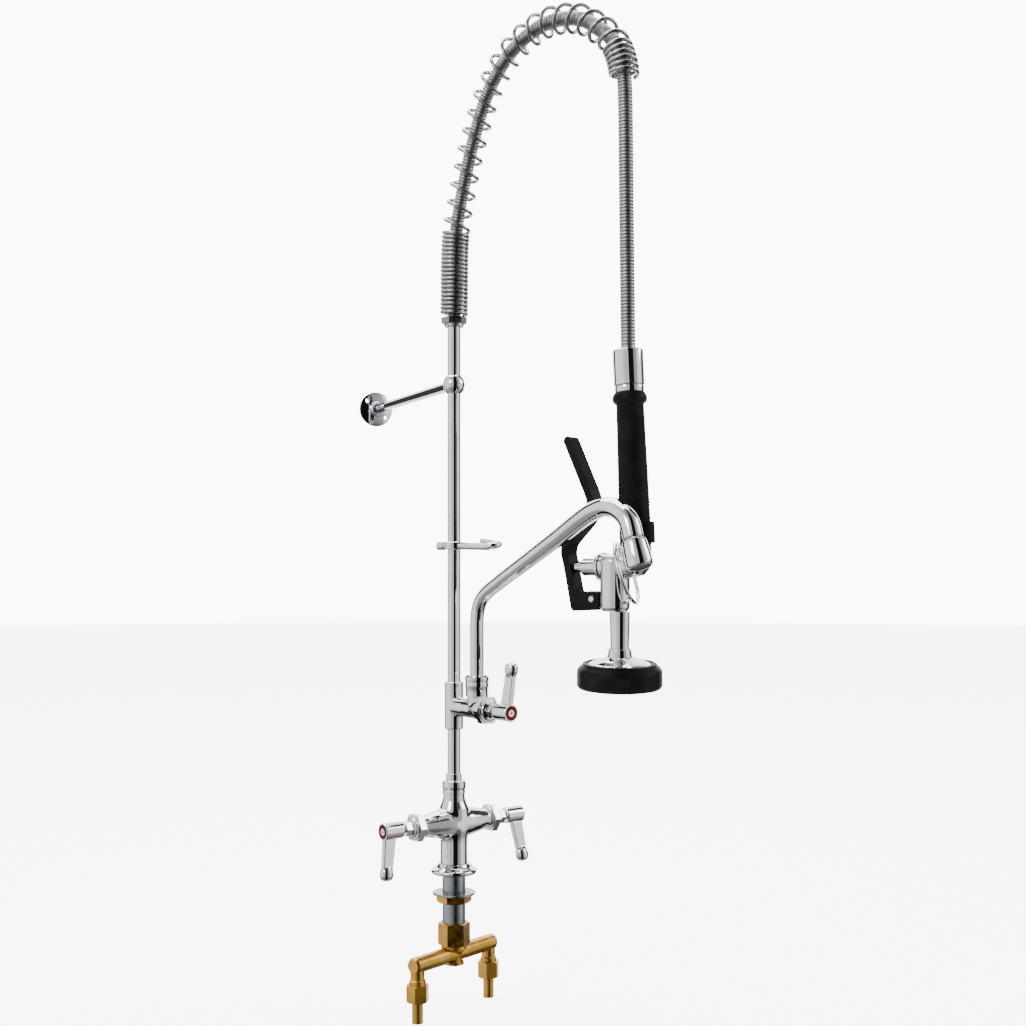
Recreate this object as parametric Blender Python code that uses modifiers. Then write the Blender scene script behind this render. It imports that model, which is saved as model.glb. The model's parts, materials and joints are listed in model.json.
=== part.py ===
"""Pre rinse faucet: deck base, riser, overhead spring, hose, spray valve and swing spout.

Sizes are in millimetres, and MM turns them into Blender's metres. The origin is the centre of the deck
flange's underside. +Z is up, -Y points at the user, and the hot and cold valves lie along X, hot at -X.
"""
import math

import bmesh
import bpy
from mathutils import Matrix, Vector

MM = 0.001
GAP = 0.3  # left between two pieces that touch
FIT = 0.35  # radial clearance of a piece that sits or turns inside another

UP = Vector((0, 0, 1))
LEFT = Vector((-1, 0, 0))
RIGHT = Vector((1, 0, 0))
USER = Vector((0, -1, 0))

# Deck base
FLANGE_HEIGHT = 14
FLANGE_R = 30
SHANK_R = 15
SHANK_TOP = 33
SHANK_BOTTOM = -79.5
WASHER_TOP = -23.5
WASHER_BOTTOM = -26.5
WASHER_R = 28
LOCK_NUT_BOTTOM = -37
LOCK_NUT_FLATS = 39.5
COUPLING_TOP = -63
COUPLING_SHOULDER = -84
COUPLING_BOTTOM = -92
COUPLING_FLATS = 36.5

# Supply yoke
YOKE_TURN = math.radians(13)  # the bar is turned a little from X
YOKE_HEIGHT = -104
YOKE_BAR_R = 10.5
YOKE_HALF = 79
TAIL_REACH = 70
STUB_BOTTOM = -134
TAIL_NUT_TOP = -128
TAIL_NUT_FLATS = 26
TAIL_NUT_BOTTOM = -150
TAIL_R = 7.15
TAIL_BOTTOM = -177

# Valve body
BARREL_R = 17.8
ARM_HEIGHT = 66
ARM_REACH = 52
COLD_SWING = 12  # degrees that the cold lever stands turned towards the user
SPOUT_VALVE_TURN = 5  # degrees that the spout valve's lever stands turned to its side
NECK_TOP = 104
COLLAR_TOP = 121
REDUCER_TOP = 130

# Riser
RISER_R = 8.55
RISER_BORE = 6.3
TEE_BOTTOM = 187
TEE_TOP = 249
SOCKET_DEPTH = 13
RISER_TOP = 713
SPRING_NUT_BOTTOM = 709
SPRING_NUT_TOP = 721
SPRING_NUT_FLATS = 29

# Add-on valve and spout
BRANCH_HEIGHT = 217
BRANCH_REACH = 62
SPOUT_REACH = 49.5  # from the riser's axis to the spout's turning axis
BOSS_TOP = 232.6
SPOUT_NUT_TOP = 260
SPOUT_FOOT = 233.2
SPOUT_WALL = 1.4
SPOUT_R_FOOT = 8.8
SPOUT_R_END = 12.0
SPOUT_BEND = (
    (SPOUT_REACH, SPOUT_FOOT),
    (SPOUT_REACH, 262),
    (SPOUT_REACH, 305),
    (50, 334),
    (55, 350),
    (67, 362.5),
    (100, 380),
    (137, 397.5),
    (175, 415.5),
    (212, 433),
    (250, 452),
    (272, 461),
    (294, 465),
    (314, 460.5),
    (330.5, 448),
    (338.5, 427),
)  # reach and height of the spout's centreline
NOZZLE_START = (338.9, 425.8)
NOZZLE_END = (349.5, 396)
NOZZLE_R = 15.3

# Hook on the riser, and wall bracket
HOOK_HEIGHT = 425
HOOK_BAND_R = 12.6
HOOK_ROD_R = 4.7
HOOK_TIP_R = 3.3
HOOK_STRAIGHT = 60
HOOK_TURN_R = 9
HOOK_TIP = 32
HOOK_RISE = 9
BRACKET_HEIGHT = 634
BRACKET_LENGTH = 305
BRACKET_ROD_R = 6.65
BRACKET_WAY = Vector((0.232, 0.973, 0)).normalized()
WALL_FLANGE_R = 25.5
WALL_HOLE_R = 2.8
WALL_HOLES = ((14.3, -12), (-14.3, 12))  # sideways and up from the flange's centre

# Overhead hose and spring. The arch lies in a plane turned a little from the user's direction.
ARCH_TURN = math.radians(8.5)
ARCH = Vector((math.sin(ARCH_TURN), -math.cos(ARCH_TURN), 0))
ACROSS = UP.cross(ARCH)
HOSE_R = 8.8
HOSE_ROUTE = (
    (0, 714),
    (0.6, 740),
    (3.6, 828),
    (16.5, 884),
    (34.7, 941),
    (57.9, 993),
    (74, 1015),
    (97, 1037),
    (125, 1052),
    (158, 1060),
    (190, 1058),
    (220, 1048.5),
    (243, 1032),
    (260, 1018),
    (272, 1001),
    (279.5, 980),
    (282.5, 955),
    (283.5, 925),
    (284.8, 823),
    (286.8, 690),
    (287.6, 630),
)  # reach and height of the hose's centreline
SPRING_COIL_R = 16
SPRING_WIRE_R = 2.4
SPRING_START = 10.5  # along the hose, from its lower end
TIGHT_TURNS = 20
TIGHT_PITCH = 5.35
OPEN_TURNS = 19
OPEN_PITCH = 22.5
END_TURNS = 6
END_PITCH = 6.4

# Spray valve. Its places are along ARCH and ACROSS from the valve body's upright axis.
SPRAY_REACH = 268
GRIP_OFFSET = 18.9  # of the grip's axis at the ferrule's top
GRIP_LEAN = math.radians(3)
FERRULE_TOP = 648
GRIP_BOTTOM = 422
CORE_R = 9.5
CORE_BOTTOM = 404
SPRAY_R = 17.5
SPRAY_TOP = 411
SPRAY_BOTTOM = 345
OUTLET_OFFSET = 7
PLUNGER_HEIGHT = 397
BONNET_END = -46.4
PLUNGER_END = -59.5
PLUNGER_R = 6.5
PIVOT_OFFSET = -28.5
PIVOT_HEIGHT = 359
LEVER_HALF_WIDTH = 8.5
LEVER_CHEEK = 5.6  # inner half-width of the lever's fork
LEVER_HEEL = ((-18.5, 346.3), (-57.5, 344.6), (-60.8, 347.3))  # under the fork and round its outer corner
LEVER_INSIDE = ((-54.8, 369.5), (-53, 367.8), (-18.5, 367.8))  # the inner corner and the fork's top
LEVER_LINE = (
    (-61.5, 375, 5.3),
    (-65, 390, 5.1),
    (-68, 402, 5.2),
    (-70.8, 414, 5.6),
    (-69, 424.5, 6),
    (-60, 434.5, 6),
    (-43.5, 449, 5.9),
    (-34.5, 459, 5.5),
    (-30.5, 470, 5.2),
    (-34, 483, 5.2),
    (-43, 501, 5.2),
    (-67, 548, 5.2),
)  # offset, height and half-thickness along the squeeze lever's bar
RING_R = 36
RING_WIRE_R = 2.35
RING_OFFSET = 17
RING_REST = 8.5  # offset of the boss that the ring hangs on
RING_HEIGHT = 389.5
RING_YAW = math.radians(26)
RING_TILT = math.radians(18)
HEAD_HEIGHT = 256
HEAD_TILT = math.radians(5)
HEAD_TILT_TOWARDS = (0.683, -0.73)  # shares along ARCH and ACROSS
BUMPER_R = 50
BUMPER_HEIGHT = 30
DOME_R = 37
FACE_R = 38
FACE_RINGS = ((12, 6), (28, 12))  # radius of each ring of spray holes, and how many

MATERIALS = {
    "chrome": ((0.80, 0.81, 0.84), 1.0, 0.06),
    "steel": ((0.55, 0.57, 0.58), 1.0, 0.35),
    "stainless": ((0.62, 0.62, 0.62), 1.0, 0.25),
    "brass": ((0.62, 0.40, 0.13), 1.0, 0.35),
    "rubber": ((0.012, 0.012, 0.014), 0.0, 0.45),
    "plastic": ((0.010, 0.010, 0.012), 0.0, 0.35),
    "red": ((0.22, 0.01, 0.015), 0.0, 0.30),
}


def clear_scene():
    for item in list(bpy.data.objects):
        bpy.data.objects.remove(item, do_unlink=True)


def make_collection(name):
    collection = bpy.data.collections.new(name)
    bpy.context.scene.collection.children.link(collection)
    return collection


clear_scene()
FAUCET = make_collection("pre_rinse_faucet")
CUTTERS = make_collection("cutters")


def surface(name, finish):
    """A Principled material of one piece's own."""
    colour, metallic, roughness = MATERIALS[finish]
    material = bpy.data.materials.new(name)
    material.use_nodes = True
    shader = material.node_tree.nodes["Principled BSDF"]
    shader.inputs["Base Color"].default_value = (*colour, 1)
    shader.inputs["Metallic"].default_value = metallic
    shader.inputs["Roughness"].default_value = roughness
    return material


def place(origin, along=UP, side=None):
    """The matrix that puts local Z on along and local X near side, with its origin given in millimetres."""
    z = Vector(along).normalized()
    if side is None:
        side = RIGHT if abs(z.x) < 0.9 else USER
    x = (Vector(side) - z * Vector(side).dot(z)).normalized()
    turn = Matrix((x, z.cross(x), z)).transposed().to_4x4()
    return Matrix.Translation(Vector(origin) * MM) @ turn


def arch_point(reach, height):
    """A point of the arch's plane."""
    return ARCH * reach + UP * height


def spray_point(offset, across, height):
    """A point given from the spray valve body's upright axis."""
    return ARCH * (SPRAY_REACH + offset) + ACROSS * across + UP * height


def add(name, data, finish, matrix=None):
    """A finished piece in the faucet's collection, or with no finish a cutter or an operand."""
    item = bpy.data.objects.new(name, data)
    if matrix is not None:
        item.matrix_world = matrix
    if finish:
        data.materials.append(surface(name, finish))
        FAUCET.objects.link(item)
    else:
        CUTTERS.objects.link(item)
        item.hide_render = True
        item.display_type = "WIRE"
    return item


def shade(mesh):
    mesh.shade_smooth()
    mesh.set_sharp_from_angle(angle=math.radians(35))


def turned(name, profile, finish, matrix, steps=12, ring=False, squeeze=1.0):
    """A turned piece. The profile lists radius and height down its outer side. A ring's profile closes."""
    points = [(radius * MM, 0, height * MM) for radius, height in profile]
    edges = [(i, i + 1) for i in range(len(points) - 1)]
    if ring:
        edges.append((len(points) - 1, 0))
    mesh = bpy.data.meshes.new(name)
    mesh.from_pydata(points, edges, [])
    item = add(name, mesh, finish, matrix @ Matrix.Diagonal((1, squeeze, 1, 1)))
    screw = item.modifiers.new("Turn", "SCREW")
    screw.steps = steps
    screw.render_steps = steps
    screw.use_merge_vertices = True
    screw.merge_threshold = 0.00001
    screw.use_smooth_shade = True
    return item


def tube(name, outer, inner, top, bottom, finish, matrix, steps=12):
    """A straight tube with a small chamfer at its outer edges."""
    edge = min(0.6, (outer - inner) / 3)
    profile = [
        (outer - edge, top),
        (outer, top - edge),
        (outer, bottom + edge),
        (outer - edge, bottom),
        (inner, bottom),
        (inner, top),
    ]
    return turned(name, profile, finish, matrix, steps, ring=True)


def rod(name, radius, top, bottom, matrix, steps=12):
    """A plain cylinder, as a cutter or an operand."""
    mesh = bpy.data.meshes.new(name)
    shape = bmesh.new()
    bmesh.ops.create_cone(
        shape,
        cap_ends=True,
        segments=steps,
        radius1=radius * MM,
        radius2=radius * MM,
        depth=(top - bottom) * MM,
    )
    bmesh.ops.translate(shape, verts=shape.verts, vec=(0, 0, (top + bottom) / 2 * MM))
    shape.to_mesh(mesh)
    shape.free()
    shade(mesh)
    return add(name, mesh, None, matrix)


def block(name, low, high, matrix):
    """A box between two corners, as a cutter or an operand."""
    mesh = bpy.data.meshes.new(name)
    shape = bmesh.new()
    bmesh.ops.create_cube(shape, size=1)
    low, high = Vector(low) * MM, Vector(high) * MM
    bmesh.ops.scale(shape, verts=shape.verts, vec=high - low)
    bmesh.ops.translate(shape, verts=shape.verts, vec=(low + high) / 2)
    shape.to_mesh(mesh)
    shape.free()
    return add(name, mesh, None, matrix)


def hexagon(name, flats, top, bottom, finish, matrix):
    """A hexagonal prism."""
    mesh = bpy.data.meshes.new(name)
    shape = bmesh.new()
    corner = flats / math.sqrt(3) * MM
    bmesh.ops.create_cone(
        shape, cap_ends=True, segments=6, radius1=corner, radius2=corner, depth=(top - bottom) * MM
    )
    bmesh.ops.translate(shape, verts=shape.verts, vec=(0, 0, (top + bottom) / 2 * MM))
    shape.to_mesh(mesh)
    shape.free()
    return add(name, mesh, finish, matrix)


def combine(item, operand, operation):
    step = item.modifiers.new(operation.title(), "BOOLEAN")
    step.operation = operation
    step.object = operand
    step.solver = "EXACT"


def cut(item, *cutters):
    for cutter in cutters:
        combine(item, cutter, "DIFFERENCE")


def join(item, *operands):
    for operand in operands:
        combine(item, operand, "UNION")


def hex_nut(name, flats, top, bottom, bore, finish, matrix):
    """A hexagonal nut with its corners turned down and a plain bore."""
    nut = hexagon(name, flats, top, bottom, finish, matrix)
    corner = flats / math.sqrt(3)
    slope = (corner - flats / 2) * 0.7
    profile = [(0, top), (flats / 2, top), (corner + 0.5, top - slope), (corner + 0.5, bottom + slope)]
    profile += [(flats / 2, bottom), (0, bottom)]
    combine(nut, turned(name + "_turning", profile, None, matrix, 12), "INTERSECT")
    cut(nut, rod(name + "_bore", bore, top + 1, bottom - 1, matrix, 16))
    return nut


def smooth_line(points, spacing):
    """Evenly spaced points on one smooth curve through the given points (a centripetal Catmull-Rom curve)."""
    points = [Vector(point) for point in points]
    ends = [points[0] * 2 - points[1], *points, points[-1] * 2 - points[-2]]
    fine = []
    for i in range(1, len(ends) - 2):
        a, b, c, d = ends[i - 1 : i + 3]
        knots = [0.0]
        for first, last in ((a, b), (b, c), (c, d)):
            knots.append(knots[-1] + math.sqrt((last - first).length))
        t0, t1, t2, t3 = knots
        for step in range(24):
            t = t1 + (t2 - t1) * step / 24
            ab = a.lerp(b, (t - t0) / (t1 - t0))
            bc = b.lerp(c, (t - t1) / (t2 - t1))
            cd = c.lerp(d, (t - t2) / (t3 - t2))
            abc = ab.lerp(bc, (t - t0) / (t2 - t0))
            bcd = bc.lerp(cd, (t - t1) / (t3 - t1))
            fine.append(abc.lerp(bcd, (t - t1) / (t2 - t1)))
    fine.append(points[-1])
    return resample(fine, spacing)


def resample(line, spacing):
    """Points at even distances along a fine line, its two ends included."""
    reach = [0.0]
    for first, last in zip(line, line[1:]):
        reach.append(reach[-1] + (last - first).length)
    count = max(2, round(reach[-1] / spacing))
    result = []
    span = 0
    for i in range(count + 1):
        goal = reach[-1] * i / count
        while span < len(line) - 2 and reach[span + 1] < goal:
            span += 1
        part = (goal - reach[span]) / (reach[span + 1] - reach[span])
        result.append(line[span].lerp(line[span + 1], part))
    return result


def wire(name, points, radius, finish, resolution=2, radii=None, caps=True):
    """A curve object with a round section along points in millimetres. Radii are shares of the radius."""
    curve = bpy.data.curves.new(name, "CURVE")
    curve.dimensions = "3D"
    curve.bevel_depth = radius * MM
    curve.bevel_resolution = resolution
    curve.use_fill_caps = caps
    spline = curve.splines.new("POLY")
    spline.points.add(len(points) - 1)
    for i, point in enumerate(points):
        spline.points[i].co = (*(Vector(point) * MM), 1)
        spline.points[i].radius = radii[i] if radii else 1
    spline.use_smooth = True
    return add(name, curve, finish)


def outline(name, loops, half_depth, matrix):
    """A flat outline with holes, as a 2D curve that is filled and extruded."""
    curve = bpy.data.curves.new(name, "CURVE")
    curve.dimensions = "2D"
    curve.fill_mode = "BOTH"
    curve.extrude = half_depth * MM
    for loop in loops:
        spline = curve.splines.new("POLY")
        spline.points.add(len(loop) - 1)
        for i, (x, y) in enumerate(loop):
            spline.points[i].co = (x * MM, y * MM, 0, 1)
        spline.use_cyclic_u = True
    return add(name, curve, None, matrix)


def as_mesh(curve_item, finish):
    """The curve object as a welded mesh object, with the curve removed."""
    bpy.context.view_layer.update()
    name = curve_item.name
    graph = bpy.context.evaluated_depsgraph_get()
    mesh = bpy.data.meshes.new_from_object(curve_item.evaluated_get(graph))
    matrix = curve_item.matrix_world.copy()
    bpy.data.objects.remove(curve_item)
    shape = bmesh.new()
    shape.from_mesh(mesh)
    bmesh.ops.remove_doubles(shape, verts=shape.verts, dist=0.00001)
    shape.to_mesh(mesh)
    shape.free()
    mesh.materials.clear()
    shade(mesh)
    return add(name, mesh, finish, matrix)


def pivot(name, point, *pieces):
    """An empty on a joint's axis that carries the pieces that move about it."""
    empty = bpy.data.objects.new(name, None)
    empty.location = Vector(point) * MM
    empty.empty_display_size = 0.02
    FAUCET.objects.link(empty)
    for piece in pieces:
        piece.parent = empty
        piece.matrix_parent_inverse = Matrix.Translation(-Vector(point) * MM)
    return empty


def circle(radius, count, centre=(0, 0)):
    turns = [2 * math.pi * i / count for i in range(count)]
    return [(centre[0] + radius * math.cos(turn), centre[1] + radius * math.sin(turn)) for turn in turns]


def make_deck_base():
    """The flange on the deck, the shank through it, and the washer and nuts underneath."""
    here = place((0, 0, 0))
    flange = [(20.5, FLANGE_HEIGHT), (21.5, 12.5), (23.5, 9.8), (27, 7.6), (29.4, 5.8), (FLANGE_R, 3.8)]
    flange += [(FLANGE_R - 0.7, 1.6), (27.5, 0.4), (26, 0)]
    flange += [(SHANK_R + FIT, 0), (SHANK_R + FIT, FLANGE_HEIGHT)]
    turned("deck_flange", flange, "chrome", here, 16, ring=True)
    tube("shank", SHANK_R, 11, SHANK_TOP, SHANK_BOTTOM, "steel", here, 16)
    washer = tube("deck_washer", WASHER_R, SHANK_R + FIT, WASHER_TOP, WASHER_BOTTOM, "steel", here, 16)
    cut(washer, rod("washer_hole", 1.5, WASHER_TOP + 1, WASHER_BOTTOM - 1, place((11, -16.5, 0)), 8))
    nut_top = WASHER_BOTTOM - GAP
    hex_nut("lock_nut", LOCK_NUT_FLATS, nut_top, LOCK_NUT_BOTTOM, SHANK_R + FIT, "brass", here)
    nut = hex_nut("coupling_nut", COUPLING_FLATS, COUPLING_TOP, COUPLING_BOTTOM, 12.4, "brass", here)
    cut(nut, rod("coupling_socket", SHANK_R + FIT, COUPLING_TOP + 1, COUPLING_SHOULDER, here, 16))


def make_supply_yoke():
    """The cast bar under the coupling nut with its two tails."""
    along = Matrix.Rotation(YOKE_TURN, 3, "Z") @ RIGHT
    bar = [(0, YOKE_HALF), (YOKE_BAR_R - 2, YOKE_HALF), (YOKE_BAR_R, YOKE_HALF - 3)]
    bar += [(YOKE_BAR_R, 3 - YOKE_HALF), (YOKE_BAR_R - 2, -YOKE_HALF), (0, -YOKE_HALF)]
    yoke = turned("supply_yoke", bar, "brass", place((0, 0, YOKE_HEIGHT), along, UP), 16)
    stem_top = COUPLING_SHOULDER + 4
    neck_top = COUPLING_SHOULDER + GAP
    rest = COUPLING_BOTTOM - GAP
    stem = [(0, stem_top), (SHANK_R - 0.2, stem_top), (SHANK_R - 0.2, neck_top), (12, neck_top), (12, rest)]
    stem += [(17, rest), (17, rest - 4), (13, rest - 7.5), (10.3, YOKE_HEIGHT), (10.3, -112), (13, -114.5)]
    stem += [(13, -117.5), (0, -117.5)]
    join(yoke, turned("yoke_stem", stem, None, place((0, 0, 0)), 16))
    cut(yoke, rod("yoke_inlet", 5.2, stem_top + 1, YOKE_HEIGHT - 1, place((0, 0, 0)), 14))
    bore = rod("yoke_bore", 6, TAIL_REACH + 3, -TAIL_REACH - 3, place((0, 0, YOKE_HEIGHT), along, UP), 16)
    for name, way in (("left", -1), ("right", 1)):
        at = along * TAIL_REACH * way
        stub = [
            (0, YOKE_HEIGHT),
            (9, YOKE_HEIGHT),
            (9, -122),
            (10.6, -123),
            (10.6, STUB_BOTTOM),
            (0, STUB_BOTTOM),
        ]
        join(yoke, turned(f"stub_{name}", stub, None, place(at), 20))
        cut(yoke, rod(f"stub_bore_{name}", 4.8, YOKE_HEIGHT - 1, STUB_BOTTOM - 1, place(at), 14))
        nut_top = TAIL_NUT_TOP
        bore_r = TAIL_R + FIT
        nut = hex_nut(
            f"tail_nut_{name}",
            TAIL_NUT_FLATS,
            nut_top,
            TAIL_NUT_BOTTOM,
            bore_r,
            "brass",
            place(at, UP, along),
        )
        cut(nut, rod(f"tail_socket_{name}", 11, nut_top + 1, STUB_BOTTOM - 6, place(at), 20))
        flare = STUB_BOTTOM - GAP
        tail = [
            (10.4, flare),
            (10.4, flare - 5),
            (TAIL_R, flare - 5.3),
            (TAIL_R, TAIL_BOTTOM),
            (5, TAIL_BOTTOM),
        ]
        turned(f"tail_tube_{name}", [*tail, (5, flare)], "brass", place(at), 16, ring=True)
    cut(yoke, bore)


def make_valve_body():
    """The cross-shaped casting, bored for the shank, the two cartridges and the outlet."""
    bottom = FLANGE_HEIGHT + GAP
    body = [
        (0, NECK_TOP),
        (14.3, NECK_TOP),
        (14.3, NECK_TOP - 5),
        (15.2, 95),
        (17.5, 90),
        (20.2, 84),
        (20.8, 76),
    ]
    body += [(20.8, 58), (BARREL_R + 0.6, 48), (BARREL_R, 42), (BARREL_R, bottom), (0, bottom)]
    casting = turned("valve_body", body, "chrome", place((0, 0, 0)), 16)
    arms = [
        (0, ARM_REACH),
        (12.2, ARM_REACH),
        (13, ARM_REACH - 1),
        (13.6, 47),
        (16.6, 34),
        (19.2, 20),
        (20.7, 8),
        (20.7, 0),
    ]
    arms += [(radius, -reach) for radius, reach in reversed(arms[:-1])]
    across = place((0, 0, ARM_HEIGHT), RIGHT, UP)
    join(casting, turned("arms", arms, None, across, 12))
    cut(casting, rod("shank_socket", SHANK_R + FIT, SHANK_TOP + GAP, bottom - 1, place((0, 0, 0)), 16))
    cut(casting, rod("passage", 6, NECK_TOP + 1, SHANK_TOP - 1, place((0, 0, 0)), 16))
    cut(casting, rod("nipple_socket", RISER_R + FIT, NECK_TOP + 1, NECK_TOP - 12, place((0, 0, 0))))
    for name, way in (("left", LEFT), ("right", RIGHT)):
        cut(casting, rod(f"seat_{name}", 11, ARM_REACH + 1, ARM_REACH - 27, place((0, 0, ARM_HEIGHT), way)))
        cut(casting, rod(f"feed_{name}", 4, ARM_REACH - 20, 0, place((0, 0, ARM_HEIGHT), way), 8))


def make_riser():
    """The collar on the neck, the nipple, the riser tube and the nut that carries hose and spring."""
    here = place((0, 0, 0))
    bore = RISER_R + FIT
    collar = [(10.4, REDUCER_TOP), (10.6, COLLAR_TOP), (14.6, COLLAR_TOP - 0.6), (15.6, COLLAR_TOP - 4)]
    collar += [(15.6, 112), (14.6, 109), (14.9, 108.5), (14.9, NECK_TOP + GAP)]
    turned("riser_collar", [*collar, (bore, NECK_TOP + GAP), (bore, REDUCER_TOP)], "chrome", here, ring=True)
    nipple_bottom = NECK_TOP - 12 + GAP
    tube("lower_nipple", RISER_R, RISER_BORE, TEE_BOTTOM + SOCKET_DEPTH - GAP, nipple_bottom, "chrome", here)
    tube("riser_tube", RISER_R, RISER_BORE, RISER_TOP, TEE_TOP - SOCKET_DEPTH + GAP, "chrome", here)
    spring_nut = hexagon("spring_nut", SPRING_NUT_FLATS, SPRING_NUT_TOP, SPRING_NUT_BOTTOM + 4, "steel", here)
    skirt = rod("nut_skirt", 13, SPRING_NUT_BOTTOM + 5, SPRING_NUT_BOTTOM, here)
    join(spring_nut, skirt)
    cut(spring_nut, rod("nut_bore", HOSE_R + 2 * FIT, SPRING_NUT_TOP + 1, SPRING_NUT_BOTTOM - 1, here, 16))


def make_tee():
    """The add-on tee on the riser, with a branch for its valve and a boss for the spout."""
    here = place((0, 0, 0))
    bore = RISER_R + FIT
    stack = [(0, TEE_TOP), (11.5, TEE_TOP), (12.3, TEE_TOP - 1), (12.3, TEE_BOTTOM + 1), (11.5, TEE_BOTTOM)]
    tee = turned("tee_body", [*stack, (0, TEE_BOTTOM)], "chrome", here)
    branch = place((0, 0, BRANCH_HEIGHT), USER, UP)
    arm = [
        (0, BRANCH_REACH),
        (14, BRANCH_REACH),
        (14.8, BRANCH_REACH - 2),
        (13.4, 48),
        (12.2, 30),
        (11.7, 0),
        (0, 0),
    ]
    join(tee, turned("branch", arm, None, branch))
    boss = [(0, BOSS_TOP), (12.35, BOSS_TOP), (12.35, BRANCH_HEIGHT + 2), (0, BRANCH_HEIGHT + 2)]
    stand = place((0, -SPOUT_REACH, 0))
    join(tee, turned("boss", boss, None, stand, 14))
    cut(tee, rod("lower_socket", bore, TEE_BOTTOM + SOCKET_DEPTH, TEE_BOTTOM - 1, here))
    cut(tee, rod("upper_socket", bore, TEE_TOP + 1, TEE_TOP - SOCKET_DEPTH, here))
    cut(tee, rod("tee_passage", RISER_BORE, TEE_TOP - 2, TEE_BOTTOM + 2, here, 16))
    cut(tee, rod("branch_passage", 4, BRANCH_REACH - 12, 0, branch, 8))
    cut(tee, rod("branch_seat", 11, BRANCH_REACH + 1, BRANCH_REACH - 27, branch, 16))
    cut(tee, rod("spout_passage", 6, BOSS_TOP + 1, BRANCH_HEIGHT, stand))


def make_cartridge_valve(prefix, seat, outward, hang):
    """One valve's bonnet, packing nut, stem, handle and index button. Heights run outward from its seat."""
    here = place(seat, outward, UP)
    bonnet = [(11, 17), (12.6, 16), (13, 14), (15.2, 13.7), (15.2, 2), (14.6, GAP), (10.7, GAP), (10.7, -15)]
    bonnet += [(6.6, -15), (6.6, 17)]
    housing = turned(f"{prefix}_bonnet", bonnet, "chrome", here, ring=True)
    flats = hexagon(f"{prefix}_bonnet_flats", 33, 12, 3, None, here)
    cut(flats, rod(f"{prefix}_flats_bore", 12, 13, 2, here))
    join(housing, flats)
    nut = hexagon(f"{prefix}_packing_nut", 17.5, 26.5, 17 + GAP, "chrome", here)
    cut(nut, rod(f"{prefix}_nut_bore", 6.6, 28, 16, here, 12))
    stem = [(0, 46), (4.9, 46), (4.9, 27.2), (6.2, 26.7), (6.2, -16), (9.8, -16), (9.8, -22), (0, -22)]
    spindle = turned(f"{prefix}_stem", stem, "brass", here, 12)
    hub = [(0, 55.3), (9.2, 55.3), (9.2, 58), (10.4, 58), (10.9, 57.2), (10.6, 32), (9.8, 31), (5.3, 31)]
    hub += [(5.3, 46.5), (0, 46.5)]
    handle = turned(f"{prefix}_handle", hub, "chrome", here, 16)
    lean = Vector(hang) * math.cos(math.radians(5)) + Vector(outward) * math.sin(math.radians(5))
    root = place(Vector(seat) + Vector(outward) * 47.5, lean, outward)
    sides = [(-8.6, 8.6), (8.6, 10.1), (7.2, 46), (-7.2, 46)]
    flat = root @ Matrix.Rotation(math.radians(90), 4, "X")
    blade = as_mesh(outline(f"{prefix}_blade", [sides], 3.8, flat), None)
    knob = [(0, 63), (4.6, 62.2), (8, 59.8), (9.2, 56), (9.2, 52), (8.1, 48), (6, 45), (0, 43.5)]
    join(blade, turned(f"{prefix}_knob", knob, None, root, 12, squeeze=0.87))
    join(handle, blade)
    button = [(0, 58.9), (4, 58.7), (8.9, 58.1), (8.9, 55.3 + GAP), (0, 55.3 + GAP)]
    index = turned(f"{prefix}_index_button", button, "red", here, 16)
    pivot(f"{prefix}_handle_axis", seat, spindle, handle, index)


def make_spout():
    """The nut on the boss, the swinging tube, its nozzle and the aerator."""
    stand = place((0, -SPOUT_REACH, 0))
    bore = SPOUT_R_FOOT + FIT + 0.1
    bottom = BOSS_TOP + GAP
    nut = [
        (13.5, SPOUT_NUT_TOP),
        (15.2, SPOUT_NUT_TOP - 2),
        (15.5, 254),
        (14.6, 252),
        (14.6, 250.5),
        (15.3, 249),
    ]
    nut += [(15.3, 246), (14.4, 244.5), (14.4, bottom), (bore, bottom), (bore, SPOUT_NUT_TOP)]
    turned("spout_nut", nut, "chrome", stand, ring=True)
    line = smooth_line([(0, -reach, height) for reach, height in SPOUT_BEND], 17)
    wide = SPOUT_R_END / SPOUT_R_FOOT
    shares = [1 + (wide - 1) * max(0, i / (len(line) - 1) - 0.25) / 0.75 for i in range(len(line))]
    spout = wire("spout_tube", line, SPOUT_R_FOOT, "chrome", 3, shares, caps=False)
    shell = spout.modifiers.new("Wall", "SOLIDIFY")
    shell.thickness = SPOUT_WALL * MM
    shell.offset = -1
    start = Vector((0, -NOZZLE_START[0], NOZZLE_START[1]))
    end = Vector((0, -NOZZLE_END[0], NOZZLE_END[1]))
    length = (end - start).length
    way = (end - start).normalized()
    here = place(start, way, UP)
    nozzle = [(13.4, length), (14.6, length - 1.2), (NOZZLE_R, length - 5), (14.4, 4), (13.4, GAP), (9, GAP)]
    nozzle += [(9, length - 10), (12.4, length - 9.7), (12.4, length)]
    nozzle = turned("nozzle_collar", nozzle, "chrome", here, 20, ring=True)
    aerator = [(12, length - 1.5), (12, length - 9.3), (6, length - 9.3), (6, length - 4), (0, length - 4)]
    aerator = turned("aerator", [(0, length - 1.5), *aerator], "steel", here, 20)
    pivot("spout_axis", (0, -SPOUT_REACH, 0), spout, nozzle, aerator)


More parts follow.
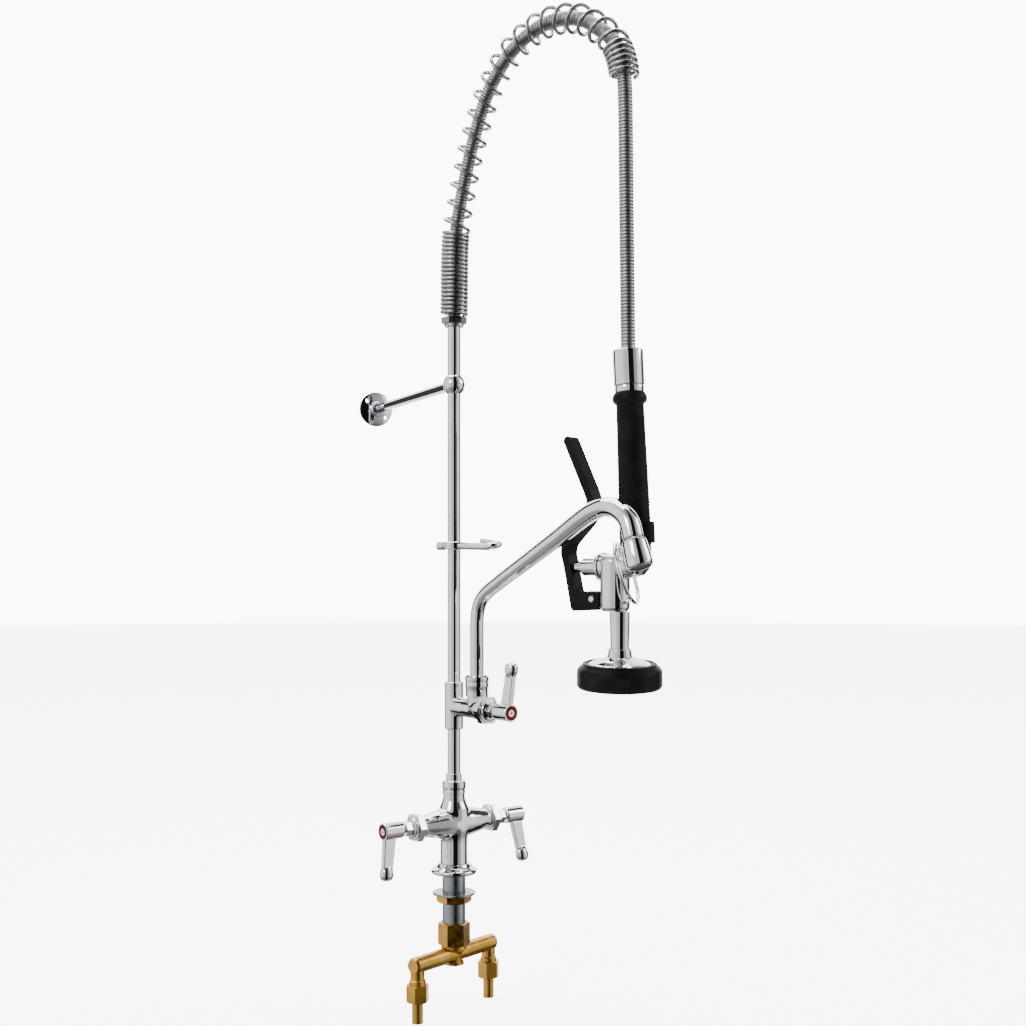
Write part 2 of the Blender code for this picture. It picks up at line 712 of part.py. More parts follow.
def make_hook():
    """The finger hook: a band on the riser with a turned-back rod, and the screw that clamps it."""
    band = tube(
        "hook",
        HOOK_BAND_R,
        RISER_R + FIT,
        HOOK_HEIGHT + 5,
        HOOK_HEIGHT - 5,
        "chrome",
        place((0, 0, 0)),
    )
    straight = [(reach, 0, HOOK_HEIGHT - 2 * reach / HOOK_STRAIGHT) for reach in (10, 30, 50, HOOK_STRAIGHT)]
    turn = []
    for i in range(1, 9):
        angle = math.pi * i / 8
        side = HOOK_TURN_R * (1 - math.cos(angle))
        turn.append((HOOK_STRAIGHT + HOOK_TURN_R * math.sin(angle), side, HOOK_HEIGHT - 2 + HOOK_RISE * i / 16))
    back = [(45, 2 * HOOK_TURN_R, HOOK_HEIGHT + 5), (HOOK_TIP, 2 * HOOK_TURN_R, HOOK_HEIGHT + HOOK_RISE - 2)]
    route = [ARCH * reach + ACROSS * side + UP * height for reach, side, height in (*straight, *turn, *back)]
    shares = [1 - (1 - HOOK_TIP_R / HOOK_ROD_R) * max(0, i - 4) / (len(route) - 5) for i in range(len(route))]
    join(band, as_mesh(wire("hook_rod", route, HOOK_ROD_R, None, 2, shares), None))
    back_way = place((0, 0, HOOK_HEIGHT), -ARCH, UP)
    join(band, rod("hook_boss", 4.6, 15.7, 10, back_way, 16))
    cut(band, rod("screw_bore", 2.6, 17, 8, back_way, 12))
    screw = [(0, 29), (5, 29), (5.7, 28), (5.7, 17.4), (5, 16.4), (2.25, 16.2), (2.25, RISER_R + GAP)]
    turned("hook_thumbscrew", [*screw, (0, RISER_R + GAP)], "chrome", back_way, 20)


def make_bracket():
    """The wall bracket: a ball clamp on the riser, its rod, and the round flange on the wall."""
    ball = [(0, 11.5), (9.5, 11.5), (12.6, 8), (14.5, 0), (12.6, -8), (9.5, -11.5), (0, -11.5)]
    arm = turned("bracket_arm", ball, "chrome", place((0, 0, BRACKET_HEIGHT)))
    along = place((0, 0, BRACKET_HEIGHT), BRACKET_WAY, UP)
    join(arm, rod("bracket_rod", BRACKET_ROD_R, BRACKET_LENGTH - 4 - GAP, 0, along))
    cut(arm, rod("clamp_bore", RISER_R + FIT, 20, -20, place((0, 0, BRACKET_HEIGHT))))
    end = BRACKET_LENGTH
    socket = BRACKET_ROD_R + FIT
    plate = [(0, end - 4), (socket, end - 4), (socket, end - 14), (9.4, end - 14), (10.4, end - 12.5)]
    plate += [(11, end - 5.6), (22, end - 4), (WALL_FLANGE_R, end - 2.4), (WALL_FLANGE_R, end), (0, end)]
    flange = turned("wall_flange", plate[::-1], "chrome", along, 18)
    sideways = BRACKET_WAY.cross(UP)
    for number, (side, height) in enumerate(WALL_HOLES):
        at = sideways * side + UP * (BRACKET_HEIGHT + height)
        cut(flange, rod(f"wall_hole_{number}", WALL_HOLE_R, end + 1, end - 12, place(at, BRACKET_WAY, UP), 8))


def make_hose_and_spring():
    """The flexible hose, and the overhead spring that is wound around it."""
    spacing = 2 * 2 * HOSE_R
    line = [arch_point(reach, height) for reach, height in HOSE_ROUTE]
    wire("hose", smooth_line(line, spacing), HOSE_R, "stainless", 2)
    fine = smooth_line(line, 1.0)
    tight = TIGHT_TURNS * TIGHT_PITCH
    opened = OPEN_TURNS * OPEN_PITCH
    turns = []
    for count, pitch, start, sides in (
        (TIGHT_TURNS, TIGHT_PITCH, SPRING_START, 6),
        (OPEN_TURNS, OPEN_PITCH, SPRING_START + tight, 8),
        (END_TURNS, END_PITCH, SPRING_START + tight + opened, 6),
    ):
        for step in range(count * sides):
            turns.append((start + pitch * step / sides, 2 * math.pi * step / sides))
    route = []
    for reach, angle in turns:
        here, ahead = fine[int(reach)], fine[int(reach) + 1]
        way = (ahead - here).normalized()
        centre = here + way * (reach - int(reach))
        outer = ACROSS.cross(way)
        route.append(centre + (ACROSS * math.cos(angle) + outer * math.sin(angle)) * SPRING_COIL_R)
    wire("spring", route, SPRING_WIRE_R, "steel", 0)


def grip_place():
    """The grip's leaning axis, pointing up, from the ferrule's top."""
    way = (UP * math.cos(GRIP_LEAN) - ARCH * math.sin(GRIP_LEAN)).normalized()
    top = spray_point(GRIP_OFFSET, 0, FERRULE_TOP)
    return place(top, way, ARCH)


def make_grip():
    """The hose's ferrule, the swivel collar, the core tube and the rubber grip on it."""
    here = grip_place()
    ferrule = [(17.2, 0), (17.9, -1), (17.9, -41), (17, -42), (12, -42), (12, -22), (9.9, -21.7), (9.9, 0)]
    turned("hose_ferrule", ferrule, "chrome", here, 16, ring=True)
    collar = [
        (16.8, -42 - GAP),
        (17, -43),
        (17, -49),
        (16.6, -49.7),
        (CORE_R + FIT, -49.7),
        (CORE_R + FIT, -42 - GAP),
    ]
    swivel = turned("swivel_collar", collar, "chrome", here, 16, ring=True)
    bottom = GRIP_BOTTOM - FERRULE_TOP
    core = tube("grip_core", CORE_R, 6, -30, CORE_BOTTOM - FERRULE_TOP, "steel", here, 16)
    grip = [(17.5, -50), (19.6, -53), (20.3, -57), (19.6, -60.5), (16.4, -63), (16, -64), (18.5, bottom + 1)]
    grip += [(17.8, bottom), (CORE_R + FIT, bottom), (CORE_R + FIT, -50)]
    rubber = turned("grip", grip, "rubber", here, 16, ring=True)
    tab = block("grip_tab", (14, -3.5, bottom + 1), (25.5, 3.5, bottom + 25), here)
    join(rubber, tab)
    return [swivel, core, rubber]


def make_spray_body():
    """The spray valve's casting, with a socket for the grip, a cross bore for the plunger and an outlet."""
    stand = place(spray_point(0, 0, 0), UP, ARCH)
    cylinder = [(0, SPRAY_TOP), (11, SPRAY_TOP), (15.2, SPRAY_TOP - 2), (SPRAY_R, SPRAY_TOP - 7)]
    cylinder += [(SPRAY_R, SPRAY_BOTTOM + 4), (SPRAY_R - 2.5, SPRAY_BOTTOM), (0, SPRAY_BOTTOM)]
    body = turned("spray_body", cylinder, "chrome", stand, 16)
    lean = grip_place()
    top = GRIP_BOTTOM - GAP - FERRULE_TOP
    socket = [
        (0, top),
        (17.4, top),
        (17.9, top - 1),
        (17.6, top - 18),
        (14.5, top - 29),
        (9, top - 35),
        (0, top - 37),
    ]
    join(body, turned("grip_socket", socket, None, lean, 16))
    level = place(spray_point(0, 0, PLUNGER_HEIGHT), -ARCH, UP)
    join(body, rod("bridge", 13, 2, -30, level, 16))
    join(body, rod("bonnet_boss", 15.5, 15, 0, level, 16))
    join(body, rod("ring_rest", 6.5, 419.7, PLUNGER_HEIGHT, place(spray_point(RING_REST, 0, 0)), 16))
    cut(body, rod("bonnet_seat", SPRAY_R, 24, 15, level, 16))
    lug = block("lever_lug", (-36, -5, 349), (-12, 5, 369), stand)
    join(body, lug)
    cut(body, rod("plunger_bore", 9, 20, -14, level, 14))
    cut(body, rod("bridge_bore", 5, 0, -32, level, 8))
    cut(body, rod("core_socket", CORE_R + FIT, top + 1, CORE_BOTTOM - FERRULE_TOP - GAP, lean, 16))
    cut(body, rod("core_passage", 5, top, PLUNGER_HEIGHT - FERRULE_TOP - 3, lean, 8))
    outlet = place(spray_point(OUTLET_OFFSET, 0, 0))
    cut(body, rod("outlet_bore", 8, PLUNGER_HEIGHT - 4, SPRAY_BOTTOM - 1, outlet, 14))
    cross = place(spray_point(PIVOT_OFFSET, 0, PIVOT_HEIGHT), ACROSS, UP)
    cut(body, rod("pivot_bore", 2.8, 8, -8, cross, 10))
    return body


def make_plunger():
    """The bonnet on the valve body, the plunger through it, and the spring behind the plunger's disc."""
    level = place(spray_point(0, 0, PLUNGER_HEIGHT), -ARCH, UP)
    end = -BONNET_END
    bore = PLUNGER_R + FIT
    bonnet = [(9.6, end), (10.5, end - 1), (10.5, 22), (12, 21), (16, 20.6), (16.9, 19), (16.9, 15 + GAP)]
    bonnet += [(8.6, 15 + GAP), (8.6, 8), (bore, 8), (bore, end)]
    cap = turned("spray_bonnet", bonnet, "chrome", level, ring=True)
    tip = -PLUNGER_END
    plunger = [(0, tip), (4.8, tip - 0.4), (PLUNGER_R, tip - 2), (PLUNGER_R, 26), (3, 25.5), (3, 6), (8, 5.7)]
    plunger = turned("plunger", [*plunger, (8, 2.5), (0, 2.5)], "chrome", level)
    turns = []
    for step in range(4 * 8 + 1):
        angle = 2 * math.pi * step / 8
        height = 1.4 - 1.5 * step / 8
        turns.append(level @ (Vector((5.5 * math.cos(angle), 5.5 * math.sin(angle), height)) * MM) / MM)
    coil = wire("plunger_spring", turns, 0.6, "steel", 0)
    return cap, plunger, coil


def make_squeeze_lever():
    """The bent squeeze lever, forked at its foot around the body's lug."""
    line = smooth_line(LEVER_LINE, 7)
    near, far = [], []
    for i, point in enumerate(line):
        way = (line[min(i + 1, len(line) - 1)] - line[max(i - 1, 0)]).to_2d().normalized()
        normal = Vector((-way.y, way.x)) * point.z
        near.append(point.to_2d() + normal)
        far.append(point.to_2d() - normal)
    way = (line[-1] - line[-2]).to_2d().normalized()
    round_end = []
    for i in range(1, 6):
        angle = math.pi * i / 6
        side = Vector((-way.y, way.x)) * math.cos(angle) + way * math.sin(angle)
        round_end.append(line[-1].to_2d() + side * line[-1].z)
    loop = [*LEVER_HEEL, *near, *round_end, *reversed(far), *LEVER_INSIDE]
    flat = Matrix((ARCH, UP, -ACROSS)).transposed().to_4x4()
    flat = Matrix.Translation(spray_point(0, 0, 0) * MM) @ flat
    lever = as_mesh(outline("squeeze_lever", [loop], LEVER_HALF_WIDTH, flat), "plastic")
    stand = place(spray_point(0, 0, 0), UP, ARCH)
    cut(lever, block("lever_slot", (-50, -LEVER_CHEEK, 335), (0, LEVER_CHEEK, 373), stand))
    cross = place(spray_point(PIVOT_OFFSET, 0, PIVOT_HEIGHT), -ACROSS, UP)
    cut(lever, rod("lever_bore", 2.8, 20, -20, cross, 10))
    face = LEVER_HALF_WIDTH + GAP
    pin = [
        (0, face + 2),
        (3.4, face + 2),
        (4.8, face + 1),
        (4.8, face),
        (2.45, face),
        (2.45, -face),
        (0, -face),
    ]
    screw = turned("lever_pivot", pin, "chrome", cross, 12)
    return lever, screw


def make_hold_ring():
    """The wire ring that hangs around the casting's bridge, for the hook."""
    normal = ARCH * math.cos(RING_YAW) + ACROSS * math.sin(RING_YAW)
    upward = UP * math.cos(RING_TILT) - normal * math.sin(RING_TILT)
    facing = normal * math.cos(RING_TILT) + UP * math.sin(RING_TILT)
    centre = spray_point(RING_OFFSET, 0, RING_HEIGHT)
    bpy.ops.mesh.primitive_torus_add(
        major_radius=RING_R * MM, minor_radius=RING_WIRE_R * MM, major_segments=28, minor_segments=6
    )
    ring = bpy.context.object
    ring.name = "hold_ring"
    for collection in list(ring.users_collection):
        collection.objects.unlink(ring)
    FAUCET.objects.link(ring)
    ring.matrix_world = place(centre, facing, upward)
    ring.data.materials.append(surface("hold_ring", "chrome"))
    ring.data.shade_smooth()
    return ring, centre + upward * RING_R


def head_place():
    """The spray head's axis, tipped a little, from the middle of its lower face."""
    along, across = HEAD_TILT_TOWARDS
    lean = ARCH * along + ACROSS * across
    way = UP * math.cos(HEAD_TILT) + lean * math.sin(HEAD_TILT)
    foot = spray_point(OUTLET_OFFSET, 0, HEAD_HEIGHT + BUMPER_HEIGHT + 8) - way * (BUMPER_HEIGHT + 8)
    return place(foot, way, ARCH)


def make_spray_head():
    """The neck, the dome, the rubber bumper and the perforated face."""
    stand = place(spray_point(OUTLET_OFFSET, 0, 0))
    top = SPRAY_BOTTOM - GAP
    neck = [(7.6, top + 10), (7.6, top), (12, top), (12, top - 8), (11.2, 310), (10.9, 297), (6, 297)]
    neck = turned("spray_neck", [*neck, (6, top + 10)], "chrome", stand, ring=True)
    here = head_place()
    rim = BUMPER_HEIGHT - 3
    dome = [
        (12.2, rim + 19),
        (13, rim + 18.6),
        (14.6, rim + 11),
        (15, rim + 9.5),
        (16, rim + 8.6),
        (26, rim + 6),
    ]
    dome += [(DOME_R - 2, rim + 2.2), (DOME_R, rim + 0.6), (DOME_R, rim - 1), (35, rim - 1), (24, rim + 2.5)]
    dome += [(7, rim + 4.5), (7, rim + 8), (12.2, rim + 9)]
    dome = turned("spray_dome", dome, "chrome", here, 20, ring=True)
    bumper = [(39, BUMPER_HEIGHT - 0.5), (43, BUMPER_HEIGHT - 1), (44.5, BUMPER_HEIGHT - 4), (47.5, 24)]
    bumper += [
        (BUMPER_R - 0.4, 21),
        (BUMPER_R, 17),
        (BUMPER_R, 3),
        (48, 0),
        (40, 0),
        (40, 1.5),
        (FACE_R + FIT, 1.5),
    ]
    bumper += [
        (FACE_R + FIT, 7),
        (35, 7),
        (35, rim - 1 - GAP),
        (DOME_R + FIT, rim - 1 - GAP),
        (DOME_R + FIT, rim + 1),
    ]
    bumper = turned("spray_bumper", bumper, "rubber", here, 20, ring=True)
    loops = [circle(FACE_R, 20)]
    for radius, count in FACE_RINGS:
        for x, y in circle(radius, count):
            loops.append(circle(1.6, 6, (x, y)))
    plate = place(here.translation / MM + here.col[2].to_3d() * 4.6, here.col[2].to_3d(), here.col[0].to_3d())
    face = as_mesh(outline("spray_face", loops, 2.0, plate), "steel")
    return [neck, dome, bumper, face]


def make_spray_valve():
    """Everything below the hose's ferrule, on the empties of its swivel, lever, plunger and ring."""
    cap, plunger, coil = make_plunger()
    lever, screw = make_squeeze_lever()
    ring, ring_top = make_hold_ring()
    fixed = [*make_grip(), make_spray_body(), cap, screw, *make_spray_head()]
    pivot("swivel_axis", spray_point(GRIP_OFFSET, 0, FERRULE_TOP), *fixed)
    pivot("lever_axis", spray_point(PIVOT_OFFSET, 0, PIVOT_HEIGHT), lever)
    pivot("plunger_axis", spray_point(0, 0, PLUNGER_HEIGHT), plunger, coil)
    pivot("ring_axis", ring_top, ring)


def make_faucet():
    make_deck_base()
    make_supply_yoke()
    make_valve_body()
    make_riser()
    make_tee()
    arm = UP * ARM_HEIGHT
    forward = Matrix.Rotation(math.radians(-COLD_SWING), 3, "X") @ -UP
    aside = Matrix.Rotation(math.radians(SPOUT_VALVE_TURN), 3, "Y") @ UP
    make_cartridge_valve("hot", arm + LEFT * ARM_REACH, LEFT, -UP)
    make_cartridge_valve("cold", arm + RIGHT * ARM_REACH, RIGHT, forward)
    make_cartridge_valve("spout_valve", UP * BRANCH_HEIGHT + USER * BRANCH_REACH, USER, aside)
    make_spout()
    make_hook()
    make_bracket()
    make_hose_and_spring()
    make_spray_valve()


make_faucet()
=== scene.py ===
"""The look of the pre rinse faucet: camera, studio, procedural finishes and fine pieces over the CAD frame.

Sizes are in millimetres, and MM turns them into Blender's metres. The origin is the centre of the deck
flange's underside. +Z is up and -Y points at the user.
"""
import json
import math

import bmesh
import bpy
from mathutils import Matrix, Vector

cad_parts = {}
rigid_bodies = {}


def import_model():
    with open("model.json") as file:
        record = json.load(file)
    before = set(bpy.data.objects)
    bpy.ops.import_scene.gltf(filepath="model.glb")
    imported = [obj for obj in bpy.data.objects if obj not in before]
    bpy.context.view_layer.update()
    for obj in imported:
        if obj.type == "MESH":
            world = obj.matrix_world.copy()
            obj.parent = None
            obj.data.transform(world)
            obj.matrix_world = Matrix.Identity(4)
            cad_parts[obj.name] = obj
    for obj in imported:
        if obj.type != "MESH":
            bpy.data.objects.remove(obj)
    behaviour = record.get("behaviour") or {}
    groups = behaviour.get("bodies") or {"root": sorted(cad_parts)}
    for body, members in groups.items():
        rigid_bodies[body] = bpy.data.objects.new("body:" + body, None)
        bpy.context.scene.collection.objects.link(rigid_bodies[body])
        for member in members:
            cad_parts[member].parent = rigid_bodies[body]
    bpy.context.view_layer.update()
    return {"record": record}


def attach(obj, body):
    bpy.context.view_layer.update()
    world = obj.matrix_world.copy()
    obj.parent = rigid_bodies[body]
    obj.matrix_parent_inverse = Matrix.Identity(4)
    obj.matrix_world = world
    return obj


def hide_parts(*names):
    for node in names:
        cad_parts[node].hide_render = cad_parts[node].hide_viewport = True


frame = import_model()
RECORD = frame["record"]
BODY_OF = {node: body for body, nodes in RECORD["behaviour"]["bodies"].items() for node in nodes}

MM = 0.001
GAP = 0.3  # left between two pieces that touch
FIT = 0.35  # radial clearance of a piece that sits or turns inside another
WELD = 0.00001  # metres, the distance within which points are one
TURN_STEPS = 96  # faces round a turned piece
ROD_SIDES = 48

UP = Vector((0, 0, 1))
LEFT = Vector((-1, 0, 0))
RIGHT = Vector((1, 0, 0))
USER = Vector((0, -1, 0))

# Deck base
FLANGE_HEIGHT = 14
FLANGE_R = 30
SHANK_R = 15
SHANK_TOP = 33
SHANK_BOTTOM = -79.5
WASHER_TOP = -23.5
WASHER_BOTTOM = -26.5
WASHER_R = 28
LOCK_NUT_BOTTOM = -37
LOCK_NUT_FLATS = 39.5
COUPLING_TOP = -63
COUPLING_SHOULDER = -84
COUPLING_BOTTOM = -92
COUPLING_FLATS = 36.5

# Supply yoke
YOKE_TURN = math.radians(13)  # the bar is turned a little from X
YOKE_HEIGHT = -104
YOKE_BAR_R = 10.5
YOKE_HALF = 79
TAIL_REACH = 70
STUB_BOTTOM = -134
TAIL_NUT_TOP = -128
TAIL_NUT_FLATS = 26
TAIL_NUT_BOTTOM = -150
TAIL_R = 7.15
TAIL_BOTTOM = -177

# Valve body
BARREL_R = 17.8
ARM_HEIGHT = 66
ARM_REACH = 52
COLD_SWING = 12  # degrees that the cold lever stands turned towards the user
SPOUT_VALVE_TURN = 5  # degrees that the spout valve's lever stands turned to its side
NECK_TOP = 104
NIPPLE_DEPTH = 12
SEAT_R = 11  # of the bore that takes a valve's cartridge
SEAT_DEPTH = 27
FEED_R = 4
PASSAGE_R = 6
COLLAR_TOP = 121
REDUCER_TOP = 130

# Riser
RISER_R = 8.55
RISER_BORE = 6.3
TEE_BOTTOM = 187
TEE_TOP = 249
SOCKET_DEPTH = 13
RISER_TOP = 713
SPRING_NUT_BOTTOM = 709
SPRING_NUT_TOP = 721
SPRING_NUT_FLATS = 29

# Add-on valve and spout
BRANCH_HEIGHT = 217
BRANCH_REACH = 62
SPOUT_REACH = 49.5  # from the riser's axis to the spout's turning axis
BOSS_TOP = 232.6
SPOUT_NUT_TOP = 260
SPOUT_FOOT = 233.2
SPOUT_WALL = 1.4
SPOUT_R_FOOT = 8.8
SPOUT_R_END = 12.0
SPOUT_BEND = (
    (SPOUT_REACH, SPOUT_FOOT), (SPOUT_REACH, 262), (SPOUT_REACH, 305), (50, 334), (55, 350),
    (67, 362.5), (100, 380), (137, 397.5), (175, 415.5), (212, 433), (250, 452), (272, 461), (294, 465),
    (314, 460.5), (330.5, 448), (338.5, 427),
)  # reach and height of the spout's centreline
NOZZLE_START = (338.9, 425.8)
NOZZLE_END = (349.5, 396)
NOZZLE_R = 15.3

# A valve's cartridge and lever, outward from its seat
BONNET_BORE = 6.6
PACKING_NUT_FLATS = 17.5
HUB_FACE = 55.3  # the hub's recess, where the index button sits
LEVER_START = 47.5
LEVER_LEAN = math.radians(5)
BLADE_DEPTH = 3.8
KNOB_SQUEEZE = 0.87

# Hook on the riser, and wall bracket
HOOK_HEIGHT = 425
HOOK_BAND_R = 12.6
HOOK_ROD_R = 4.7
HOOK_TIP_R = 3.3
HOOK_STRAIGHT = 60
HOOK_TURN_R = 9
HOOK_TIP = 32
HOOK_RISE = 9
BRACKET_HEIGHT = 634
BRACKET_LENGTH = 305
BRACKET_ROD_R = 6.65
BRACKET_WAY = Vector((0.232, 0.973, 0)).normalized()
WALL_FLANGE_R = 25.5
WALL_HOLE_R = 2.8
WALL_HOLES = ((14.3, -12), (-14.3, 12))  # sideways and up from the flange's centre

# Overhead hose and spring. The arch lies in a plane turned a little from the user's direction.
ARCH_TURN = math.radians(8.5)
ARCH = Vector((math.sin(ARCH_TURN), -math.cos(ARCH_TURN), 0))
ACROSS = UP.cross(ARCH)
HOSE_R = 8.8
HOSE_PITCH = 3.85
HOSE_GROOVE = 1.1
HOSE_SIDES = 28
HOSE_STEP = 0.5  # spacing of the fine line that the hose's rings are placed on
HOSE_ROUTE = (
    (0, 714), (0.6, 740), (3.6, 828), (16.5, 884), (34.7, 941), (57.9, 993), (74, 1015), (97, 1037),
    (125, 1052), (158, 1060), (190, 1058), (220, 1048.5), (243, 1032), (260, 1018), (272, 1001),
    (279.5, 980), (282.5, 955), (283.5, 925), (284.8, 823), (286.8, 690), (287.6, 630),
)  # reach and height of the hose's centreline
SPRING_COIL_R = 16
SPRING_WIRE_R = 2.4
SPRING_START = 10.5  # along the hose, from its lower end
TIGHT_TURNS = 20
TIGHT_PITCH = 5.35
OPEN_TURNS = 19
OPEN_PITCH = 22.5
END_TURNS = 6
END_PITCH = 6.4
TURN_POINTS = 36  # of the spring's wire, in each turn

# Spray valve. Its places are along ARCH and ACROSS from the valve body's upright axis.
SPRAY_REACH = 268
GRIP_OFFSET = 18.9  # of the grip's axis at the ferrule's top
GRIP_LEAN = math.radians(3)
FERRULE_TOP = 648
GRIP_BOTTOM = 422
CORE_R = 9.5
CORE_BOTTOM = 404
SPRAY_R = 17.5
SPRAY_TOP = 411
SPRAY_BOTTOM = 345
OUTLET_OFFSET = 7
PLUNGER_HEIGHT = 397
BONNET_END = -46.4
PLUNGER_END = -59.5
PLUNGER_R = 6.5
PIVOT_OFFSET = -28.5
PIVOT_HEIGHT = 359
PIVOT_BORE = 2.8
RETURN_COIL_R = 5.5
RETURN_PITCH = 1.5
RETURN_TURNS = 4
RETURN_POINTS = 32  # of its wire, in each turn
RETURN_WIRE_R = 0.6
LEVER_HALF_WIDTH = 8.5
LEVER_CHEEK = 5.6  # inner half-width of the lever's fork
LEVER_HEEL = ((-18.5, 346.3), (-57.5, 344.6), (-60.8, 347.3))  # under the fork and round its outer corner
LEVER_INSIDE = ((-54.8, 369.5), (-53, 367.8), (-18.5, 367.8))  # the inner corner and the fork's top
LEVER_LINE = (
    (-61.5, 375, 5.3), (-65, 390, 5.1), (-68, 402, 5.2), (-70.8, 414, 5.6), (-69, 424.5, 6),
    (-60, 434.5, 6), (-43.5, 449, 5.9), (-34.5, 459, 5.5), (-30.5, 470, 5.2), (-34, 483, 5.2),
    (-43, 501, 5.2), (-67, 548, 5.2),
)  # offset, height and half-thickness along the squeeze lever's bar
RING_R = 36
RING_WIRE_R = 2.35
RING_POINTS = 96
RING_OFFSET = 17
RING_REST = 8.5  # offset of the boss that the ring hangs on
RING_HEIGHT = 389.5
RING_YAW = math.radians(26)
RING_TILT = math.radians(18)
HEAD_HEIGHT = 256
HEAD_TILT = math.radians(5)
HEAD_TILT_TOWARDS = (0.683, -0.73)  # shares along ARCH and ACROSS
BUMPER_R = 50
BUMPER_HEIGHT = 30
DOME_R = 37
FACE_R = 38
FACE_RINGS = ((12, 6), (28, 12))  # radius of each ring of spray holes, and how many
SPRAY_HOLE_R = 1.6
FACE_HEIGHT = 4.6

# Camera and studio. Their places are in metres.
LENS = 49.12
VIEW_SHIFT = 0.0575
VIEW_TURN = -38.4
CAMERA_SPOT = (-1.069, -1.472, 0.391)
PAPER = (0.92, 0.92, 0.92, 1)
LAMP_AIM = Vector((0, -0.1, 0.45))
LAMPS = (
    ("lamp_left", (-2.9, -0.6, 2.0), 1.2, 40),
    ("lamp_right", (2.2, -1.6, 1.8), 1.2, 30),
    ("lamp_top", (0.2, 0.9, 3.4), 3.0, 190),
)  # name, place, size and power
FLOOR_HEIGHT = -178.5 * MM
FLOOR_GLOW = 6  # lifts the floor's paper to the backdrop's white
BACKDROP_GLOW = 7
BACKDROP_R = 14

# Azimuth in degrees about Z and the brightness of the room's wall from there on
ROOM_BANDS = (
    (-180, 1.3), (-165, 1.0), (-150, 0.75), (-134, 0.9), (-132, 0.01), (-95, 0.01), (-92, 0.40),
    (-68, 0.55), (-62, 1.5), (-24, 1.3), (-20, 0.08), (12, 0.08), (20, 3.6), (84, 3.6), (90, 0.06),
    (112, 0.06), (116, 1.6), (150, 1.5),
)

# Height of a direction, from -1 straight down to 1 straight up, and the share of the wall's brightness there
ROOM_HEIGHTS = ((-1, 0.2), (-0.5, 0.3), (-0.22, 0.95), (0.1, 1.0), (0.55, 1.0), (0.8, 0.55), (1, 0.4))

# Finishes: colour, metallic, roughness, how far the roughness wanders, grain scale and grain depth
FINISHES = {
    "chrome": ((0.76, 0.77, 0.81), 1.0, 0.045, 0.03, 900, 0.0015),
    "steel": ((0.30, 0.32, 0.335), 1.0, 0.30, 0.12, 1600, 0.06),
    "stainless": ((0.40, 0.40, 0.42), 1.0, 0.24, 0.10, 1400, 0.03),
    "hose_steel": ((0.34, 0.34, 0.35), 1.0, 0.34, 0.10, 1400, 0.03),
    "screen": ((0.010, 0.010, 0.011), 0.0, 0.6, 0.10, 1400, 0.05),
    "brass": ((0.64, 0.36, 0.065), 1.0, 0.32, 0.16, 700, 0.08),
    "rubber": ((0.0026, 0.0026, 0.0036), 0.0, 0.42, 0.12, 1500, 0.12),
    "plastic": ((0.0024, 0.0024, 0.0030), 0.0, 0.40, 0.10, 1100, 0.10),
    "red": ((0.035, 0.0016, 0.002), 0.0, 0.28, 0.06, 600, 0.02),
    "pale": ((0.30, 0.23, 0.21), 0.0, 0.35, 0.06, 600, 0.02),
}
MARKED = {"chrome": 0.08, "steel": 0.25, "stainless": 0.2, "brass": 0.3, "rubber": 0.5, "plastic": 0.4}
STAIN_SCALE = 45
WEAR_SCALE = 130
GRAIN_HEIGHT = 0.4
SHARP = 32  # degrees between faces that meet in a crease
UNBEVELLED = ("hose", "spring", "hold_ring", "plunger_spring", "spout_tube")
BEVELLED = 40  # degrees from which a crease is bevelled
EDGE = 0.35  # width of that bevel
SHEEN = 0.06  # how strongly the rubber and plastic shine
CAST_GRAIN = 0.7  # size of the faces on a casting's skin
CAST_PASSES = 14  # smoothing passes, which give fillets of 2 to 3 mm
VALVE_PASSES = 80  # for the wider fillets of the valve body
FACER_R = 30  # of the cutter that faces a casting's ends
SPARE = 6  # length by which a casting is made longer before its ends are faced


def make_collection(name):
    collection = bpy.data.collections.new(name)
    bpy.context.scene.collection.children.link(collection)
    return collection


PIECES = make_collection("pieces")
CUTTERS = make_collection("cutters")
SURFACES = {}


